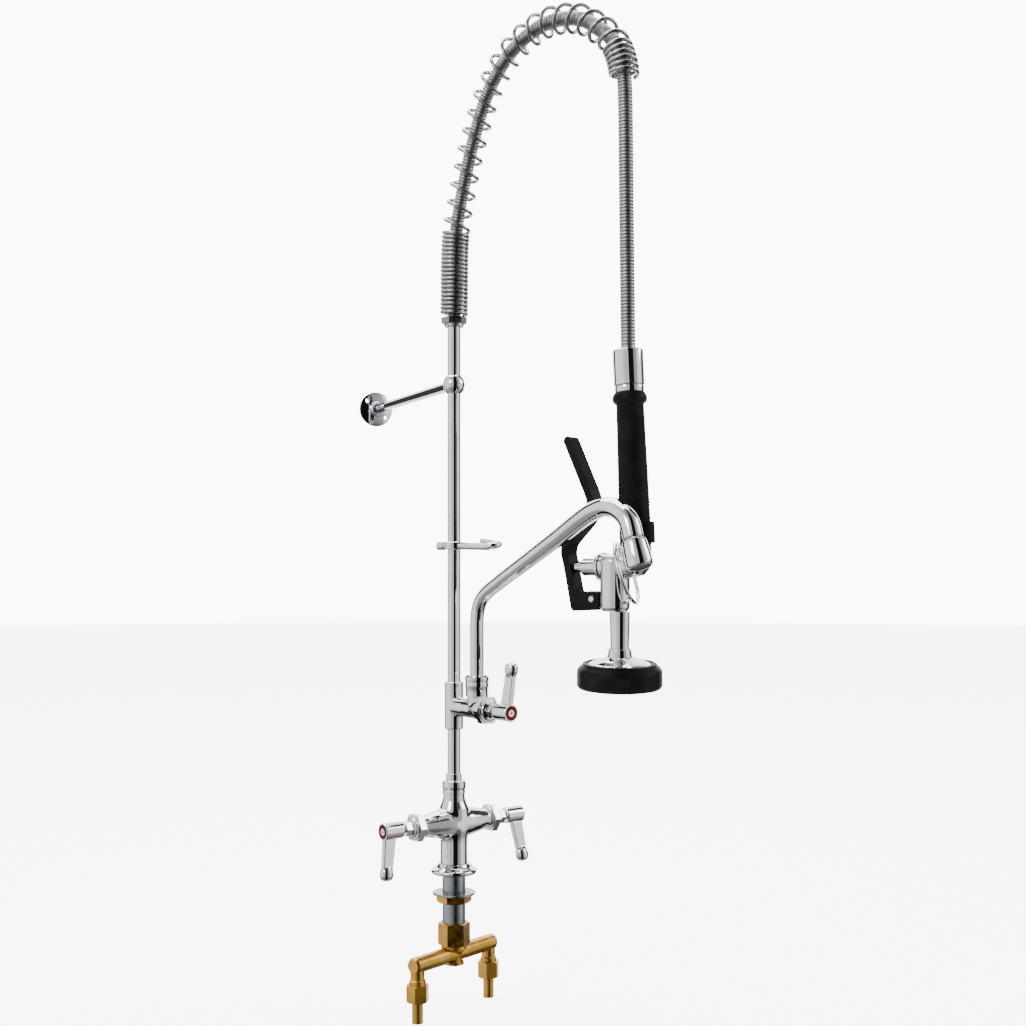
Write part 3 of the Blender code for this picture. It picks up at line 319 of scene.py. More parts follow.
def surface(finish):
    """The procedural material of one finish, made once: stained colour, worn roughness and fine grain."""
    if finish in SURFACES:
        return SURFACES[finish]
    colour, metallic, roughness, wander, grain, depth = FINISHES[finish]
    material = bpy.data.materials.new("look_" + finish)
    SURFACES[finish] = material
    material.use_nodes = True
    tree = material.node_tree
    link = tree.links.new
    shader = tree.nodes["Principled BSDF"]
    shader.inputs["Metallic"].default_value = metallic
    shader.inputs["Specular IOR Level"].default_value = SHEEN
    place_node = tree.nodes.new("ShaderNodeTexCoord")

    def noise(scale, detail):
        node = tree.nodes.new("ShaderNodeTexNoise")
        node.inputs["Scale"].default_value = scale
        node.inputs["Detail"].default_value = detail
        link(place_node.outputs["Object"], node.inputs["Vector"])
        return node.outputs["Fac"]

    def ramp(source, low, high, start, end):
        node = tree.nodes.new("ShaderNodeValToRGB")
        node.color_ramp.elements[0].position = start
        node.color_ramp.elements[0].color = low
        node.color_ramp.elements[1].position = end
        node.color_ramp.elements[1].color = high
        link(source, node.inputs["Fac"])
        return node.outputs["Color"]

    stain = MARKED.get(finish, 0.1)
    darker = tuple(part * (1 - stain) for part in colour)
    stained = ramp(noise(STAIN_SCALE, 5), (*darker, 1), (*colour, 1), 0.35, 0.62)
    link(stained, shader.inputs["Base Color"])
    spread = tree.nodes.new("ShaderNodeMapRange")
    spread.inputs["From Min"].default_value = 0.3
    spread.inputs["From Max"].default_value = 0.7
    spread.inputs["To Min"].default_value = max(0.02, roughness - wander / 2)
    spread.inputs["To Max"].default_value = roughness + wander / 2
    link(noise(WEAR_SCALE, 6), spread.inputs["Value"])
    link(spread.outputs["Result"], shader.inputs["Roughness"])
    bump = tree.nodes.new("ShaderNodeBump")
    bump.inputs["Strength"].default_value = depth
    bump.inputs["Distance"].default_value = GRAIN_HEIGHT * MM
    link(noise(grain, 3), bump.inputs["Height"])
    link(bump.outputs["Normal"], shader.inputs["Normal"])
    return material


def place(origin, along=UP, side=None):
    """The matrix that puts local Z on along and local X near side, with its origin given in millimetres."""
    z = Vector(along).normalized()
    if side is None:
        side = RIGHT if abs(z.x) < 0.9 else USER
    x = (Vector(side) - z * Vector(side).dot(z)).normalized()
    turn = Matrix((x, z.cross(x), z)).transposed().to_4x4()
    return Matrix.Translation(Vector(origin) * MM) @ turn


def arch_point(reach, height):
    """A point of the arch's plane."""
    return ARCH * reach + UP * height


def spray_point(offset, across, height):
    """A point given from the spray valve body's upright axis."""
    return ARCH * (SPRAY_REACH + offset) + ACROSS * across + UP * height


def add(name, data, finish, matrix=None):
    """A piece in the workshop, or with no finish a cutter or an operand. settle() brings the pieces out."""
    item = bpy.data.objects.new(name + "_look", data)
    if matrix is not None:
        item.matrix_world = matrix
    (PIECES if finish else CUTTERS).objects.link(item)
    if finish:
        item["finish"] = finish
        item["node"] = name
    return item


def shade(mesh):
    mesh.shade_smooth()
    mesh.set_sharp_from_angle(angle=math.radians(SHARP))


def turned(name, profile, finish, matrix, ring=False, squeeze=1.0):
    """A turned piece. The profile lists radius and height down its outer side. A ring's profile closes."""
    points = [(radius * MM, 0, height * MM) for radius, height in profile]
    edges = [(i, i + 1) for i in range(len(points) - 1)]
    if ring:
        edges.append((len(points) - 1, 0))
    mesh = bpy.data.meshes.new(name)
    mesh.from_pydata(points, edges, [])
    item = add(name, mesh, finish, matrix @ Matrix.Diagonal((1, squeeze, 1, 1)))
    screw = item.modifiers.new("Turn", "SCREW")
    screw.steps = screw.render_steps = TURN_STEPS
    screw.use_merge_vertices = True
    screw.merge_threshold = WELD
    screw.use_smooth_shade = True
    return item


def tube(name, outer, inner, top, bottom, finish, matrix):
    """A straight tube with a small chamfer at its outer edges."""
    edge = min(0.6, (outer - inner) / 3)
    profile = [
        (outer - edge, top),
        (outer, top - edge),
        (outer, bottom + edge),
        (outer - edge, bottom),
        (inner, bottom),
        (inner, top),
    ]
    return turned(name, profile, finish, matrix, ring=True)


def prism(name, sides, radius, top, bottom, finish, matrix):
    """An upright prism. Its radius is that of its corners."""
    mesh = bpy.data.meshes.new(name)
    shape = bmesh.new()
    bmesh.ops.create_cone(
        shape,
        cap_ends=True,
        segments=sides,
        radius1=radius * MM,
        radius2=radius * MM,
        depth=(top - bottom) * MM,
    )
    bmesh.ops.translate(shape, verts=shape.verts, vec=(0, 0, (top + bottom) / 2 * MM))
    shape.to_mesh(mesh)
    shape.free()
    return add(name, mesh, finish, matrix)


def rod(name, radius, top, bottom, matrix):
    """A plain cylinder, as a cutter or an operand."""
    item = prism(name, ROD_SIDES, radius, top, bottom, None, matrix)
    shade(item.data)
    return item


def hexagon(name, flats, top, bottom, finish, matrix):
    """A hexagonal prism, given by the distance across its flats."""
    return prism(name, 6, flats / math.sqrt(3), top, bottom, finish, matrix)


def block(name, low, high, matrix):
    """A box between two corners, as a cutter or an operand."""
    mesh = bpy.data.meshes.new(name)
    shape = bmesh.new()
    bmesh.ops.create_cube(shape, size=1)
    low, high = Vector(low) * MM, Vector(high) * MM
    bmesh.ops.scale(shape, verts=shape.verts, vec=high - low)
    bmesh.ops.translate(shape, verts=shape.verts, vec=(low + high) / 2)
    shape.to_mesh(mesh)
    shape.free()
    return add(name, mesh, None, matrix)


def combine(item, operand, operation):
    step = item.modifiers.new(operation.title(), "BOOLEAN")
    step.operation = operation
    step.object = operand
    step.solver = "MANIFOLD"


def cut(item, cutter):
    combine(item, cutter, "DIFFERENCE")


def join(item, operand):
    combine(item, operand, "UNION")


def flow(casting, passes=CAST_PASSES):
    """Melts the joined shapes of a casting into each other, as its mould did."""
    skin = casting.modifiers.new("Skin", "REMESH")
    skin.mode = "VOXEL"
    skin.voxel_size = CAST_GRAIN * MM
    fillets = casting.modifiers.new("Fillets", "SMOOTH")
    fillets.iterations = passes
    fillets.factor = 0.5


def hex_nut(name, flats, top, bottom, bore, finish, matrix):
    """A hexagonal nut with its corners turned down and a plain bore."""
    nut = hexagon(name, flats, top, bottom, finish, matrix)
    corner = flats / math.sqrt(3)
    slope = (corner - flats / 2) * 0.7
    profile = [(0, top), (flats / 2, top), (corner + 0.5, top - slope), (corner + 0.5, bottom + slope)]
    profile += [(flats / 2, bottom), (0, bottom)]
    combine(nut, turned(name + "_turning", profile, None, matrix), "INTERSECT")
    cut(nut, rod(name + "_bore", bore, top + 1, bottom - 1, matrix))
    return nut


def smooth_line(points, spacing):
    """Evenly spaced points on one smooth curve, a centripetal Catmull-Rom curve through the given points."""
    points = [Vector(point) for point in points]
    ends = [points[0] * 2 - points[1], *points, points[-1] * 2 - points[-2]]
    fine = []
    for i in range(1, len(ends) - 2):
        a, b, c, d = ends[i - 1 : i + 3]
        knots = [0.0]
        for first, last in ((a, b), (b, c), (c, d)):
            knots.append(knots[-1] + math.sqrt((last - first).length))
        t0, t1, t2, t3 = knots
        for step in range(24):
            t = t1 + (t2 - t1) * step / 24
            ab = a.lerp(b, (t - t0) / (t1 - t0))
            bc = b.lerp(c, (t - t1) / (t2 - t1))
            cd = c.lerp(d, (t - t2) / (t3 - t2))
            abc = ab.lerp(bc, (t - t0) / (t2 - t0))
            bcd = bc.lerp(cd, (t - t1) / (t3 - t1))
            fine.append(abc.lerp(bcd, (t - t1) / (t2 - t1)))
    fine.append(points[-1])
    return resample(fine, spacing)


def resample(line, spacing):
    """Points at even distances along a fine line, its two ends included."""
    reach = [0.0]
    for first, last in zip(line, line[1:]):
        reach.append(reach[-1] + (last - first).length)
    count = max(2, round(reach[-1] / spacing))
    result = []
    span = 0
    for i in range(count + 1):
        goal = reach[-1] * i / count
        while span < len(line) - 2 and reach[span + 1] < goal:
            span += 1
        part = (goal - reach[span]) / (reach[span + 1] - reach[span])
        result.append(line[span].lerp(line[span + 1], part))
    return result


def wire(name, points, radius, finish, radii=None, caps=True):
    """A curve object with a round section along points in millimetres. Radii are shares of the radius."""
    curve = bpy.data.curves.new(name, "CURVE")
    curve.dimensions = "3D"
    curve.bevel_depth = radius * MM
    curve.bevel_resolution = 8
    curve.use_fill_caps = caps
    spline = curve.splines.new("POLY")
    spline.points.add(len(points) - 1)
    for i, point in enumerate(points):
        spline.points[i].co = (*(Vector(point) * MM), 1)
        spline.points[i].radius = radii[i] if radii else 1
    spline.use_smooth = True
    return add(name, curve, finish)


def outline(name, loops, half_depth, matrix):
    """A flat outline with holes, as a 2D curve that is filled and extruded."""
    curve = bpy.data.curves.new(name, "CURVE")
    curve.dimensions = "2D"
    curve.fill_mode = "BOTH"
    curve.extrude = half_depth * MM
    for loop in loops:
        spline = curve.splines.new("POLY")
        spline.points.add(len(loop) - 1)
        for i, (x, y) in enumerate(loop):
            spline.points[i].co = (x * MM, y * MM, 0, 1)
        spline.use_cyclic_u = True
    return add(name, curve, None, matrix)


def as_mesh(curve_item, finish):
    """The curve object as a welded mesh object, with the curve removed."""
    bpy.context.view_layer.update()
    name = curve_item.name.removesuffix("_look")
    graph = bpy.context.evaluated_depsgraph_get()
    mesh = bpy.data.meshes.new_from_object(curve_item.evaluated_get(graph))
    matrix = curve_item.matrix_world.copy()
    bpy.data.objects.remove(curve_item)
    shape = bmesh.new()
    shape.from_mesh(mesh)
    bmesh.ops.remove_doubles(shape, verts=shape.verts, dist=WELD)
    shape.to_mesh(mesh)
    shape.free()
    mesh.materials.clear()
    shade(mesh)
    return add(name, mesh, finish, matrix)


def circle_turns(count):
    return [2 * math.pi * i / count for i in range(count)]


def circle(radius, count, centre=(0, 0)):
    turns = circle_turns(count)
    return [(centre[0] + radius * math.cos(turn), centre[1] + radius * math.sin(turn)) for turn in turns]


def make_deck_base():
    """The flange on the deck, the shank through it, and the washer and nuts underneath."""
    here = place((0, 0, 0))
    edge = [(20.5, FLANGE_HEIGHT), (21.5, 12.5), (23.5, 9.8), (27, 7.6), (29.4, 5.8), (FLANGE_R, 3.8)]
    edge += [(FLANGE_R - 0.7, 1.6), (27.5, 0.4), (26, 0)]
    bell = smooth_line([(radius, 0, height) for radius, height in edge], 0.7)
    flange = [(point.x, point.z) for point in bell]
    flange += [(SHANK_R + FIT, 0), (SHANK_R + FIT, FLANGE_HEIGHT)]
    turned("deck_flange", flange, "chrome", here, ring=True)
    tube("shank", SHANK_R, 11, SHANK_TOP, SHANK_BOTTOM, "steel", here)
    washer = tube("deck_washer", WASHER_R, SHANK_R + FIT, WASHER_TOP, WASHER_BOTTOM, "steel", here)
    cut(washer, rod("washer_hole", 1.5, WASHER_TOP + 1, WASHER_BOTTOM - 1, place((11, -16.5, 0))))
    nut_top = WASHER_BOTTOM - GAP
    hex_nut("lock_nut", LOCK_NUT_FLATS, nut_top, LOCK_NUT_BOTTOM, SHANK_R + FIT, "brass", here)
    nut = hex_nut("coupling_nut", COUPLING_FLATS, COUPLING_TOP, COUPLING_BOTTOM, 12.4, "brass", here)
    cut(nut, rod("coupling_socket", SHANK_R + FIT, COUPLING_TOP + 1, COUPLING_SHOULDER, here))


def make_supply_yoke():
    """The cast bar under the coupling nut with its two tails."""
    along = Matrix.Rotation(YOKE_TURN, 3, "Z") @ RIGHT
    bar = [(0, YOKE_HALF), (YOKE_BAR_R - 2, YOKE_HALF), (YOKE_BAR_R, YOKE_HALF - 3)]
    bar += [(YOKE_BAR_R, 3 - YOKE_HALF), (YOKE_BAR_R - 2, -YOKE_HALF), (0, -YOKE_HALF)]
    yoke = turned("supply_yoke", bar, "brass", place((0, 0, YOKE_HEIGHT), along, UP))
    stem_top = COUPLING_SHOULDER + 4
    neck_top = COUPLING_SHOULDER + GAP
    rest = COUPLING_BOTTOM - GAP
    stem = [(0, stem_top), (SHANK_R - 0.2, stem_top), (SHANK_R - 0.2, neck_top), (12, neck_top), (12, rest)]
    stem += [(17, rest), (17, rest - 4), (13, rest - 7.5), (10.3, YOKE_HEIGHT), (10.3, -112), (13, -114.5)]
    stem += [(13, -117.5), (0, -117.5)]
    here = place((0, 0, 0))
    join(yoke, turned("yoke_stem", stem, None, here))
    cut(yoke, rod("yoke_inlet", 5.2, stem_top + 1, YOKE_HEIGHT - 1, here))
    bore = rod("yoke_bore", PASSAGE_R, TAIL_REACH + 3, -TAIL_REACH - 3, place((0, 0, YOKE_HEIGHT), along, UP))
    for name, way in (("left", -1), ("right", 1)):
        at = along * TAIL_REACH * way
        stub = [(0, YOKE_HEIGHT), (9, YOKE_HEIGHT), (9, -122), (10.6, -123), (10.6, STUB_BOTTOM)]
        stub.append((0, STUB_BOTTOM))
        join(yoke, turned(f"stub_{name}", stub, None, place(at)))
        cut(yoke, rod(f"stub_bore_{name}", 4.8, YOKE_HEIGHT - 1, STUB_BOTTOM - 1, place(at)))
        hexed = place(at, UP, along)
        sizes = (TAIL_NUT_FLATS, TAIL_NUT_TOP, TAIL_NUT_BOTTOM, TAIL_R + FIT)
        nut = hex_nut(f"tail_nut_{name}", *sizes, "brass", hexed)
        cut(nut, rod(f"tail_socket_{name}", 11, TAIL_NUT_TOP + 1, STUB_BOTTOM - 6, place(at)))
        flare = STUB_BOTTOM - GAP
        tail = [(10.4, flare), (10.4, flare - 5), (TAIL_R, flare - 5.3), (TAIL_R, TAIL_BOTTOM)]
        tail += [(5, TAIL_BOTTOM), (5, flare)]
        turned(f"tail_tube_{name}", tail, "brass", place(at), ring=True)
    cut(yoke, bore)


def make_valve_body():
    """The cross-shaped casting, bored for the shank, the two cartridges and the outlet."""
    bottom = FLANGE_HEIGHT + GAP
    top = NECK_TOP + SPARE
    body = [(0, top), (14.3, top), (14.3, NECK_TOP - 5), (15.2, 95), (17.5, 90), (20.2, 84), (20.8, 76)]
    foot = bottom - SPARE
    body += [(20.8, 58), (BARREL_R + 0.6, 48), (BARREL_R, 42), (BARREL_R, foot), (0, foot)]
    here = place((0, 0, 0))
    casting = turned("valve_body", body, "chrome", here)
    reach = ARM_REACH + SPARE
    arms = [(0, reach), (13, reach), (13, ARM_REACH - 1), (13.6, 47), (16.6, 34), (19.2, 20), (20.7, 8)]
    arms += [(20.7, 0), *((radius, -out) for radius, out in reversed(arms))]
    across = place((0, 0, ARM_HEIGHT), RIGHT, UP)
    join(casting, turned("arms", arms, None, across))
    flow(casting, VALVE_PASSES)
    cut(casting, rod("face_neck", FACER_R, NECK_TOP + 2 * SPARE, NECK_TOP, here))
    cut(casting, rod("face_foot", FACER_R, bottom, bottom - 2 * SPARE, here))
    cut(casting, rod("shank_socket", SHANK_R + FIT, SHANK_TOP + GAP, bottom - 1, here))
    cut(casting, rod("passage", PASSAGE_R, NECK_TOP + 1, SHANK_TOP - 1, here))
    cut(casting, rod("nipple_socket", RISER_R + FIT, NECK_TOP + 1, NECK_TOP - NIPPLE_DEPTH, here))
    for name, way in (("left", LEFT), ("right", RIGHT)):
        arm = place((0, 0, ARM_HEIGHT), way)
        cut(casting, rod(f"face_{name}", FACER_R, reach + SPARE, ARM_REACH, arm))
        cut(casting, rod(f"seat_{name}", SEAT_R, ARM_REACH + 1, ARM_REACH - SEAT_DEPTH, arm))
        cut(casting, rod(f"feed_{name}", FEED_R, ARM_REACH - 20, 0, arm))


def make_riser():
    """The collar on the neck, the nipple, the riser tube and the nut that carries hose and spring."""
    here = place((0, 0, 0))
    bore = RISER_R + FIT
    collar = [(10.4, REDUCER_TOP), (10.6, COLLAR_TOP), (14.6, COLLAR_TOP - 0.6), (15.6, COLLAR_TOP - 4)]
    collar += [(15.6, 112), (14.6, 109), (14.9, 108.5), (14.9, NECK_TOP + GAP)]
    turned("riser_collar", [*collar, (bore, NECK_TOP + GAP), (bore, REDUCER_TOP)], "chrome", here, ring=True)
    nipple_bottom = NECK_TOP - NIPPLE_DEPTH + GAP
    tube("lower_nipple", RISER_R, RISER_BORE, TEE_BOTTOM + SOCKET_DEPTH - GAP, nipple_bottom, "chrome", here)
    tube("riser_tube", RISER_R, RISER_BORE, RISER_TOP, TEE_TOP - SOCKET_DEPTH + GAP, "chrome", here)
    spring_nut = hexagon("spring_nut", SPRING_NUT_FLATS, SPRING_NUT_TOP, SPRING_NUT_BOTTOM + 4, "steel", here)
    join(spring_nut, rod("nut_skirt", 13, SPRING_NUT_BOTTOM + 5, SPRING_NUT_BOTTOM, here))
    cut(spring_nut, rod("nut_bore", HOSE_R + 2 * FIT, SPRING_NUT_TOP + 1, SPRING_NUT_BOTTOM - 1, here))


def make_tee():
    """The add-on tee on the riser, with a branch for its valve and a boss for the spout."""
    here = place((0, 0, 0))
    bore = RISER_R + FIT
    stack = [(0, TEE_TOP), (11.5, TEE_TOP), (12.3, TEE_TOP - 1), (12.3, TEE_BOTTOM + 1), (11.5, TEE_BOTTOM)]
    tee = turned("tee_body", [*stack, (0, TEE_BOTTOM)], "chrome", here)
    branch = place((0, 0, BRANCH_HEIGHT), USER, UP)
    end = BRANCH_REACH + SPARE
    arm = [(0, end), (14.8, end), (14.8, BRANCH_REACH - 2), (13.4, 48), (12.2, 30), (11.7, 0), (0, 0)]
    join(tee, turned("branch", arm, None, branch))
    boss_top = BOSS_TOP + SPARE
    boss = [(0, boss_top), (12.35, boss_top), (12.35, BRANCH_HEIGHT + 2), (0, BRANCH_HEIGHT + 2)]
    stand = place((0, -SPOUT_REACH, 0))
    join(tee, turned("boss", boss, None, stand))
    flow(tee)
    cut(tee, rod("face_branch", FACER_R, end + SPARE, BRANCH_REACH, branch))
    cut(tee, rod("face_boss", 14.2, boss_top + SPARE, BOSS_TOP, stand))
    cut(tee, rod("lower_socket", bore, TEE_BOTTOM + SOCKET_DEPTH, TEE_BOTTOM - 1, here))
    cut(tee, rod("upper_socket", bore, TEE_TOP + 1, TEE_TOP - SOCKET_DEPTH, here))
    cut(tee, rod("tee_passage", RISER_BORE, TEE_TOP - 2, TEE_BOTTOM + 2, here))
    cut(tee, rod("branch_passage", FEED_R, BRANCH_REACH - 12, 0, branch))
    cut(tee, rod("branch_seat", SEAT_R, BRANCH_REACH + 1, BRANCH_REACH - SEAT_DEPTH, branch))
    cut(tee, rod("spout_passage", PASSAGE_R, BOSS_TOP + 1, BRANCH_HEIGHT, stand))


def make_cartridge_valve(prefix, seat, outward, hang):
    """One valve's bonnet, packing nut, stem, handle and index button. Heights run outward from its seat."""
    here = place(seat, outward, UP)
    bonnet = [(11, 17), (12.6, 16), (13, 14), (15.2, 13.7), (15.2, 2), (14.6, GAP), (10.7, GAP), (10.7, -15)]
    bonnet += [(BONNET_BORE, -15), (BONNET_BORE, 17)]
    housing = turned(f"{prefix}_bonnet", bonnet, "chrome", here, ring=True)
    flats = hexagon(f"{prefix}_bonnet_flats", 33, 12, 3, None, here)
    cut(flats, rod(f"{prefix}_flats_bore", 12, 13, 2, here))
    join(housing, flats)
    nut = hexagon(f"{prefix}_packing_nut", PACKING_NUT_FLATS, 26.5, 17 + GAP, "chrome", here)
    cut(nut, rod(f"{prefix}_nut_bore", BONNET_BORE, 28, 16, here))
    stem = [(0, 46), (4.9, 46), (4.9, 27.2), (6.2, 26.7), (6.2, -16), (9.8, -16), (9.8, -22), (0, -22)]
    turned(f"{prefix}_stem", stem, "chrome", here)
    hub = [(0, HUB_FACE), (9.2, HUB_FACE), (9.2, 58), (10.4, 58), (10.9, 57.2), (10.6, 32), (9.8, 31)]
    hub += [(5.3, 31), (5.3, 46.5), (0, 46.5)]
    handle = turned(f"{prefix}_handle", hub, "chrome", here)
    lean = Vector(hang) * math.cos(LEVER_LEAN) + Vector(outward) * math.sin(LEVER_LEAN)
    root = place(Vector(seat) + Vector(outward) * LEVER_START, lean, outward)
    sides = [(-8.6, 8.6), (8.6, 10.1), (7.2, 46), (-7.2, 46)]
    flat = root @ Matrix.Rotation(math.radians(90), 4, "X")
    blade = as_mesh(outline(f"{prefix}_blade", [sides], BLADE_DEPTH, flat), None)
    knob = [(0, 63), (4.6, 62.2), (8, 59.8), (9.2, 56), (9.2, 52), (8.1, 48), (6, 45), (0, 43.5)]
    join(blade, turned(f"{prefix}_knob", knob, None, root, squeeze=KNOB_SQUEEZE))
    flow(blade)
    join(handle, blade)
    seat_face = HUB_FACE + GAP
    ring = [(9, 57.9), (8.9, 58.1), (4.6, 58.5), (4.6, seat_face), (9, seat_face)]
    turned(f"{prefix}_index_button", ring, "red", here, ring=True)
    disc = [(0, 58.7), (3.6, 58.6), (4.4, 58.3), (4.4, 56), (0, 56)]
    dot = [(0, 58.95), (1.3, 58.85), (1.4, 58.4), (0, 58.4)]
    for part, profile, finish in (("disc", disc, "pale"), ("dot", dot, "red")):
        extra = turned(f"{prefix}_index_{part}", profile, finish, here)
        extra["body"] = BODY_OF[f"{prefix}_index_button"]
        extra["node"] = ""


def make_spout():
    """The nut on the boss, the swinging tube, its nozzle and the aerator."""
    stand = place((0, -SPOUT_REACH, 0))
    bore = SPOUT_R_FOOT + FIT + 0.1
    bottom = BOSS_TOP + GAP
    nut = [(13.5, SPOUT_NUT_TOP), (15.2, SPOUT_NUT_TOP - 2), (15.5, 254), (14.6, 252), (14.6, 250.5)]
    nut += [(15.3, 249), (15.3, 246), (14.4, 244.5), (14.4, bottom), (bore, bottom), (bore, SPOUT_NUT_TOP)]
    turned("spout_nut", nut, "chrome", stand, ring=True)
    line = smooth_line([(0, -reach, height) for reach, height in SPOUT_BEND], 4)
    wide = SPOUT_R_END / SPOUT_R_FOOT
    shares = [1 + (wide - 1) * max(0, i / (len(line) - 1) - 0.25) / 0.75 for i in range(len(line))]
    spout = wire("spout_tube", line, SPOUT_R_FOOT, "chrome", shares, caps=False)
    shell = spout.modifiers.new("Wall", "SOLIDIFY")
    shell.thickness = SPOUT_WALL * MM
    shell.offset = -1
    start = Vector((0, -NOZZLE_START[0], NOZZLE_START[1]))
    end = Vector((0, -NOZZLE_END[0], NOZZLE_END[1]))
    length = (end - start).length
    way = (end - start).normalized()
    here = place(start, way, UP)
    nozzle = [(13.4, length), (14.6, length - 1.2), (NOZZLE_R, length - 5), (14.4, 4), (13.4, GAP), (9, GAP)]
    nozzle += [(9, length - 10), (12.4, length - 9.7), (12.4, length)]
    turned("nozzle_collar", nozzle, "chrome", here, ring=True)
    screen = [(12, length - 1.5), (12, length - 9.3), (6, length - 9.3), (6, length - 4), (0, length - 4)]
    turned("aerator", [(0, length - 1.5), *screen], "screen", here)


def make_hook():
    """The finger hook: a band on the riser with a turned-back rod, and the screw that clamps it."""
    here = place((0, 0, 0))
    band = tube("hook", HOOK_BAND_R, RISER_R + FIT, HOOK_HEIGHT + 5, HOOK_HEIGHT - 5, "chrome", here)
    straight = [(reach, 0, HOOK_HEIGHT - 2 * reach / HOOK_STRAIGHT) for reach in (10, 30, 50, HOOK_STRAIGHT)]
    turn = []
    for i in range(1, 9):
        angle = math.pi * i / 8
        reach = HOOK_STRAIGHT + HOOK_TURN_R * math.sin(angle)
        side = HOOK_TURN_R * (1 - math.cos(angle))
        turn.append((reach, side, HOOK_HEIGHT - 2 + HOOK_RISE * i / 16))
    back = [(45, 2 * HOOK_TURN_R, HOOK_HEIGHT + 5), (HOOK_TIP, 2 * HOOK_TURN_R, HOOK_HEIGHT + HOOK_RISE - 2)]
    route = [ARCH * reach + ACROSS * side + UP * height for reach, side, height in (*straight, *turn, *back)]
    shares = [1 - (1 - HOOK_TIP_R / HOOK_ROD_R) * max(0, i - 4) / (len(route) - 5) for i in range(len(route))]
    join(band, as_mesh(wire("hook_rod", route, HOOK_ROD_R, None, shares), None))
    back_way = place((0, 0, HOOK_HEIGHT), -ARCH, UP)
    join(band, rod("hook_boss", 4.6, 15.7, 10, back_way))
    cut(band, rod("screw_bore", 2.6, 17, 8, back_way))
    screw = [(0, 29), (5, 29), (5.7, 28), (5.7, 17.4), (5, 16.4), (2.25, 16.2), (2.25, RISER_R + GAP)]
    turned("hook_thumbscrew", [*screw, (0, RISER_R + GAP)], "chrome", back_way)


def make_bracket():
    """The wall bracket: a ball clamp on the riser, its rod, and the round flange on the wall."""
    ball = [(0, 11.5), (9.5, 11.5), (12.6, 8), (14.5, 0), (12.6, -8), (9.5, -11.5), (0, -11.5)]
    arm = turned("bracket_arm", ball, "chrome", place((0, 0, BRACKET_HEIGHT)))
    along = place((0, 0, BRACKET_HEIGHT), BRACKET_WAY, UP)
    join(arm, rod("bracket_rod", BRACKET_ROD_R, BRACKET_LENGTH - 4 - GAP, 0, along))
    cut(arm, rod("clamp_bore", RISER_R + FIT, 20, -20, place((0, 0, BRACKET_HEIGHT))))
    end = BRACKET_LENGTH
    socket = BRACKET_ROD_R + FIT
    plate = [(0, end - 4), (socket, end - 4), (socket, end - 14), (9.4, end - 14), (10.4, end - 12.5)]
    plate += [(11, end - 5.6), (22, end - 4), (WALL_FLANGE_R, end - 2.4), (WALL_FLANGE_R, end), (0, end)]
    flange = turned("wall_flange", plate[::-1], "chrome", along)
    sideways = BRACKET_WAY.cross(UP)
    for number, (side, height) in enumerate(WALL_HOLES):
        at = sideways * side + UP * (BRACKET_HEIGHT + height)
        cut(flange, rod(f"wall_hole_{number}", WALL_HOLE_R, end + 1, end - 12, place(at, BRACKET_WAY, UP)))


def hose_line(spacing):
    """The hose's middle line, in millimetres."""
    return smooth_line([arch_point(reach, height) for reach, height in HOSE_ROUTE], spacing)


def swept(name, line, radii, sides, finish):
    """A tube along a line with a radius at each point and closed ends. Both lists have the same length."""
    shape = bmesh.new()
    last = None
    for i, point in enumerate(line):
        way = (line[min(i + 1, len(line) - 1)] - line[max(i - 1, 0)]).normalized()
        across = (ACROSS - way * ACROSS.dot(way)).normalized()
        other = way.cross(across)
        ring = []
        for step in range(sides):
            turn = 2 * math.pi * step / sides
            spot = point + (across * math.cos(turn) + other * math.sin(turn)) * radii[i]
            ring.append(shape.verts.new(spot * MM))
        if last:
            for step in range(sides):
                ahead = (step + 1) % sides
                shape.faces.new((last[step], last[ahead], ring[ahead], ring[step]))
        else:
            shape.faces.new(list(reversed(ring)))
        last = ring
    shape.faces.new(last)
    mesh = bpy.data.meshes.new(name)
    shape.to_mesh(mesh)
    shape.free()
    mesh.shade_smooth()
    return add(name, mesh, finish)


def make_hose():
    """The stripwound hose: overlapping steel rings at an even pitch along the route."""
    profile = ((0.0, 0.0), (0.1, 0.6), (0.26, 0.95), (0.5, 1.0), (0.68, 0.9), (0.84, 0.5), (0.92, 0.0))
    smooth = hose_line(HOSE_STEP)
    reach = (len(smooth) - 1) * HOSE_STEP
    rings = round(reach / HOSE_PITCH)
    line, radii = [], []
    for ring in range(rings):
        for share, rise in profile:
            spot = (ring + share) / rings * (len(smooth) - 1)
            index = min(int(spot), len(smooth) - 2)
            line.append(smooth[index].lerp(smooth[index + 1], spot - index))
            radii.append(HOSE_R - HOSE_GROOVE + HOSE_GROOVE * rise)
    swept("hose", line, radii, HOSE_SIDES, "hose_steel")


def declare_hose():
    """Works out the route that the hose's rings follow, and keeps nothing of it."""
    smooth = hose_line(HOSE_STEP)


